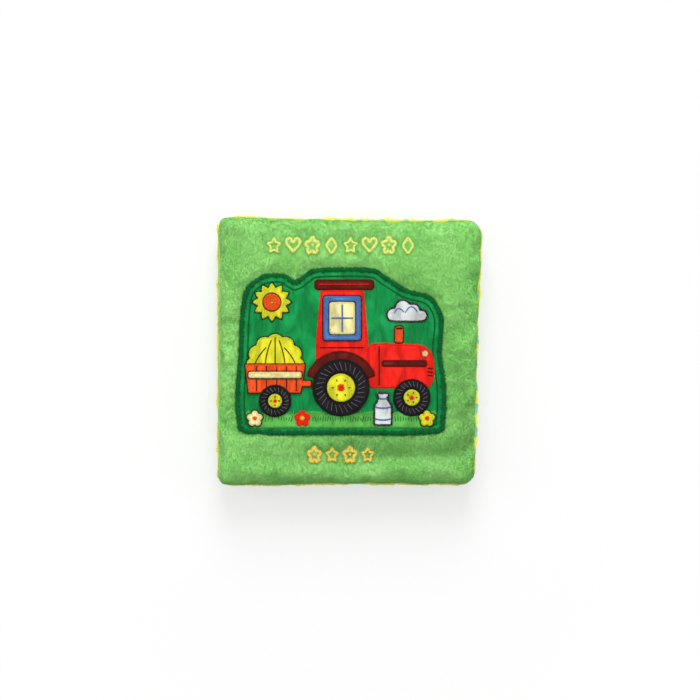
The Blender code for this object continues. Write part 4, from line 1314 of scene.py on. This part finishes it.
sew("patch_hem_stitch", "border", roundPatch(3 * mm, 5.2 * mm, 0.08 * mm), closed=True, Width=0.8 * mm)
report("picture embroidered")
thread("patch_border_satin", roundPatch(2 * mm, 1.35 * mm, 0.1 * mm), "border_thread", "front_cover",
       "patch_border", **border)

motifThread = dict(spread=0.3 * mm, widest=1.9 * mm, knot=0.35 * mm, sink=0.3 * mm, lift=0.35 * mm)
motifStitch = dict(Pitch=0.32 * mm, Arch=0.4 * mm, Thread=0.2 * mm, Lift=-0.35 * mm, Slant=0.2, Jitter=0.8)
knotted = ("head_motif_3", "head_motif_7", "foot_motif_1", "foot_motif_3")  # the flowers


def embroider(node, finish):
    outer, inner = outlines(node)
    outer = flowing(outer, 0.45 * mm)
    width = float(np.median(fromSeam(outer, flowing(inner, 0.3 * mm))[0])) + motifThread["spread"]
    width = min(width, motifThread["widest"])
    path = [(x, y, max(plushHeight(x, y), face - motifThread["sink"]) + motifThread["lift"])
            for x, y in inward(outer, (width - motifThread["spread"]) / 2)]
    seed = sum(map(ord, node))
    thread(f"{node}_stitching", [path], finish, "front_cover", node, Width=width, Seed=seed, **motifStitch)
    if node in knotted:
        low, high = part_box(node)
        middle = ((low.x + high.x) / 2, (low.y + high.y) / 2)
        lift = plushHeight(*middle) + 0.3 * mm
        ring = [(x, y, lift) for x, y in circle(*middle, motifThread["knot"], 12)]
        thread(f"{node}_knot", [ring], finish, "front_cover", slot=slotNames[node], Width=1.0 * mm,
               Seed=seed, **motifStitch)


for node in motifs:
    embroider(node, "headThread_thread" if node.startswith("head") else "footThread_thread")
report("embroidery stitched")


# Edges and spine seam

def openEdge(panel, inset, gutterZ, bodyZ, start=book["gutterEnd"], perSide=90):
    # foot, fore-edge and head, past start from the spine
    ring = panel.ring(inset, perSide)
    keep = ring[:, 0] > start
    return [(x + axis.x, y + axis.y, ramp(x, gutterZ, bodyZ)) for x, y in panel.sewn(ring[keep])]


overcast = dict(Thread=0.2 * mm, Roll=math.pi / 2, Slant=0.5)
coverEdge = dict(Pitch=1.15 * mm, Width=2.3 * mm, Arch=0.75 * mm, **overcast)
leafEdge = dict(Pitch=1.495 * mm, Width=1.9 * mm, Arch=0.6 * mm, **overcast)


def overcastEdge(name, body, node, path, seed, look):
    thread(name, [path], "edgeThread_thread", body, node, closed=False, Seed=seed, **look)


for prefix, body, side in coverSides:
    heights = [axis.z + side * rise for rise in (2.1 * mm, 6.1 * mm)]
    path = openEdge(liningPanel, 0.55 * mm, *heights, start=7.5 * mm)
    overcastEdge(f"{prefix}_cover_overcast", body, f"{prefix}_edge_stitch", path, 41 + side, coverEdge)
for prefix, side in leafSides:
    heights = [axis.z + side * rise for rise in (0.75 * mm, 2.75 * mm)]
    path = openEdge(leafPanel, 0.5 * mm, *heights)
    overcastEdge(f"{prefix}_overcast", prefix, f"{prefix}_edge_stitch", path, 61 + side, leafEdge)

topstitchInset = 4.2 * mm
topstitch = dict(Pitch=3.0 * mm, Width=2.1 * mm, Thread=0.2 * mm, Arch=0.14 * mm, Slant=math.pi / 2,
                 Jitter=0.3)


def ridge(surface, points, side, over):  # points lifted on to a sheet's outer or inner face
    tree = BVHTree.FromObject(surface, bpy.context.evaluated_depsgraph_get())
    lifted = []
    for x, y, _ in points:
        hit = tree.ray_cast(Vector((x, y, axis.z + side * 0.2)), Vector((0, 0, -side)))[0]
        if hit:
            lifted.append((x, y, hit.z + side * over))
    return lifted


hemmed = [(linings[prefix], liningPanel, body, -side, "orange") for prefix, body, side in coverSides]
for sheet, body, side in pages:
    hemmed.append((sheet, leafPanel, body, side, "blue" if "back" in sheet.name else "orange"))
for sheet, panel, body, side, dye in hemmed:
    path = ridge(sheet, openEdge(panel, topstitchInset, 0, 0, perSide=70), side, 0.04 * mm)
    thread(f"{sheet.name}_topstitch", [path], f"{dye}_thread", body, slot="yellow_edge_thread",
           closed=False, Seed=sum(map(ord, sheet.name)), **topstitch)
report("topstitching done")

seam = dict(core=1.1 * mm, wrap=1.45 * mm, uneven=0.5 * mm, pitch=0.85 * mm, thread=0.3 * mm, outer=0.5,
            waver=0.7, taper=4.0 * mm)
seamLow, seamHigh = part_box("spine_seam_cord")


def thinned(y):  # the cord narrows towards its two ends
    clear = min(y - seamLow.y, seamHigh.y - y) / seam["taper"]
    return min(1.0, 0.35 + 0.65 * clear)


def flattened(a, y):  # the seam is pressed flat against the covers' edges on its outer side
    if math.cos(a) > 0:
        return math.cos(a)
    return math.cos(a) * (seam["outer"] + seam["waver"] * noise.noise(Vector((y / (9 * mm), 7.1, 0))))


def shaded(made, seed):
    values = [0.75 + 0.5 * noise.noise(v.co * 900 + Vector((seed, 0, 0))) for v in made.data.vertices]
    made.data.attributes.new("shade", "FLOAT", "POINT").data.foreach_set("value", values)
    return made


def spineSeam():
    stations = np.linspace(seamLow.y + 0.6 * mm, seamHigh.y - 0.6 * mm, 240)
    turns = np.linspace(0, 2 * math.pi, 15)[:-1]
    points, faces = [], []
    for y in stations:
        swell = seam["core"] * thinned(y)
        points += [(axis.x + swell * flattened(a, y), y, axis.z + swell * math.sin(a)) for a in turns]
    count = len(turns)
    for k in range(len(stations) - 1):
        for i in range(count):
            j = (i + 1) % count
            faces.append((k * count + i, k * count + j, (k + 1) * count + j, (k + 1) * count + i))
    faces += [tuple(range(count)), tuple(range(len(points) - count, len(points)))]
    made = outward(newMesh("spine_seam_core", points, faces))
    dress(shaded(made, 1), "edgeThread_thread", "back_cover", "spine_seam_cord")
    path = []
    for y in np.linspace(seamLow.y + mm, seamHigh.y - mm, 4200):
        a = (y / seam["pitch"] + 0.4 * noise.noise(Vector((y / (4 * mm), 2.2, 0)))) * 2 * math.pi
        loose = noise.noise(Vector((y / (0.9 * mm), math.cos(a), 5.5)))
        loose += noise.noise(Vector((y / (5 * mm), 1, 1)))
        reach = (seam["wrap"] + seam["uneven"] * loose) * thinned(y)
        path.append((axis.x + reach * flattened(a, y), y, axis.z + reach * math.sin(a)))
    curve = bpy.data.curves.new("spine_seam_wrap", "CURVE")
    curve.dimensions = "3D"
    curve.bevel_depth, curve.bevel_resolution, curve.use_fill_caps = seam["thread"], 1, True
    spline = curve.splines.new("POLY")
    spline.points.add(len(path) - 1)
    for point, place in zip(spline.points, path):
        point.co = (*place, 1)
    wrap = linked("spine_seam_wrap", curve)
    graph = bpy.context.evaluated_depsgraph_get()
    mesh = bpy.data.meshes.new_from_object(wrap.evaluated_get(graph))
    bpy.data.objects.remove(wrap)
    made = shaded(linked("spine_seam_wrap", mesh), 2)
    dress(made, "edgeThread_thread", "back_cover", slot="yellow_edge_thread")


spineSeam()
report("edges and spine sewn")


# Batting and crinkle film inside

fillingCloth = dict(pillow=0.5 * mm, grid=2.6 * mm, waves=0.3 * mm)
filmSheet = dict(pillow=0.05 * mm, grid=3 * mm, waves=0.1 * mm)


def laidInside(name, node, finish, body, look):
    low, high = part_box(node)
    line = flowing(outlines(node)[0], 3 * mm)
    return stitched(name, [line], low.z, high.z, finish, body, node, **look), np.ptp(line, axis=0)


insides = [(prefix, body) for prefix, body, _ in coverSides] + [(leaf, leaf) for leaf, _ in leafSides]
for prefix, body in insides:
    name = f"{prefix}_fibre_filling"
    filling, _ = laidInside(name, f"{prefix}_batting", "batting", body, fillingCloth)
    film, size = laidInside(f"{prefix}_film_sheet", f"{prefix}_crinkle_film", "film", body, filmSheet)
    laid(film, size, name)


# Studio

studio = dict(
    frameWidth=0.427,
    lens=100.0,
    faceZ=0.02,
    aim=(0.0011, 0.0007),
    paper=0.9,
    floorReach=3.0,
    shadeFrom=0.13,  # the floor turns white between these two distances from the book
    whiteFrom=0.3,
    glow=0.54,
    sky=0.515,
)
softboxes = dict(  # place, width and watts
    key=((0.0, 1.25, 0.95), 0.9, 16.6),
    fill=((0.15, 0.0, 1.4), 1.8, 4.1),
    left=((-1.2, 0.15, 0.5), 1.1, 4.6),
    right=((1.2, 0.15, 0.5), 1.1, 3.2),
)


def shownTo(maker, *rays):  # 1 for rays of these kinds
    path = maker.nodes.new("ShaderNodeLightPath")
    seen, *others = (Value(maker, path.outputs[f"Is {ray} Ray"]) for ray in rays)
    for other in others:
        seen = seen.math("MAXIMUM", other)
    return seen


def makeFloor():
    wide = studio["floorReach"]
    corners = [(-wide, -wide, 0), (wide, -wide, 0), (wide, wide, 0), (-wide, wide, 0)]
    floor = newMesh("studio_floor", corners, [(0, 1, 2, 3)])
    paper = Finish("studio_paper", 0.9)
    shades = ((studio["paper"] * share,) * 3 + (1,) for share in (0.99, 1.0))
    paper.wear(paper.blend(paper.grain(0.02), *shades))
    far = paper.vector("LENGTH", paper.place, output=1)
    white = paper.node("ShaderNodeEmission", None, {0: (1, 1, 1, 1), 1: 1.0})
    glow = far.between(studio["shadeFrom"], studio["whiteFrom"]) * (1 - studio["glow"]) + studio["glow"]
    share = glow * shownTo(paper, "Camera", "Glossy")
    inputs = {0: share, 1: Value(paper, paper.shader.outputs[0]), 2: white}
    mixed = paper.node("ShaderNodeMixShader", None, inputs)
    paper.links.new(mixed.socket, paper.material.node_tree.nodes["Material Output"].inputs[0])
    floor.data.materials.append(paper.material)
    floor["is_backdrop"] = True


def makeLight():
    world = bpy.data.worlds.new("studio_light")
    world.use_nodes = True
    tree = Tree(world.node_tree.nodes, world.node_tree.links)
    tree.nodes.clear()
    strength = shownTo(tree, "Camera", "Glossy", "Transmission") * (1 - studio["sky"]) + studio["sky"]
    light = tree.node("ShaderNodeBackground", None, {"Color": (1, 1, 1, 1), "Strength": strength})
    out = tree.nodes.new("ShaderNodeOutputWorld")
    tree.links.new(light.socket, out.inputs[0])
    bpy.context.scene.world = world
    for name, (place, size, power) in softboxes.items():
        lamp = bpy.data.lights.new(f"{name}_softbox", "AREA")
        lamp.size, lamp.energy = size, power
        box = linked(f"{name}_softbox", lamp)
        box.location = place
        box.rotation_euler = (-Vector(place)).to_track_quat("-Z", "Y").to_euler()


def makeCamera():
    camera = bpy.data.cameras.new("overhead_camera")
    camera.lens, camera.sensor_width = studio["lens"], 36.0
    away = studio["frameWidth"] * camera.lens / camera.sensor_width
    stand = linked("overhead_camera", camera)
    stand.location = (*studio["aim"], studio["faceZ"] + away)
    bpy.context.scene.camera = stand
    bpy.context.scene.view_settings.view_transform = "Standard"


makeFloor()
makeLight()
makeCamera()
report("studio lit")

sizes = {"cad": [list(v) for v in cadBounds], "visual": [list(v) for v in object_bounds()]}
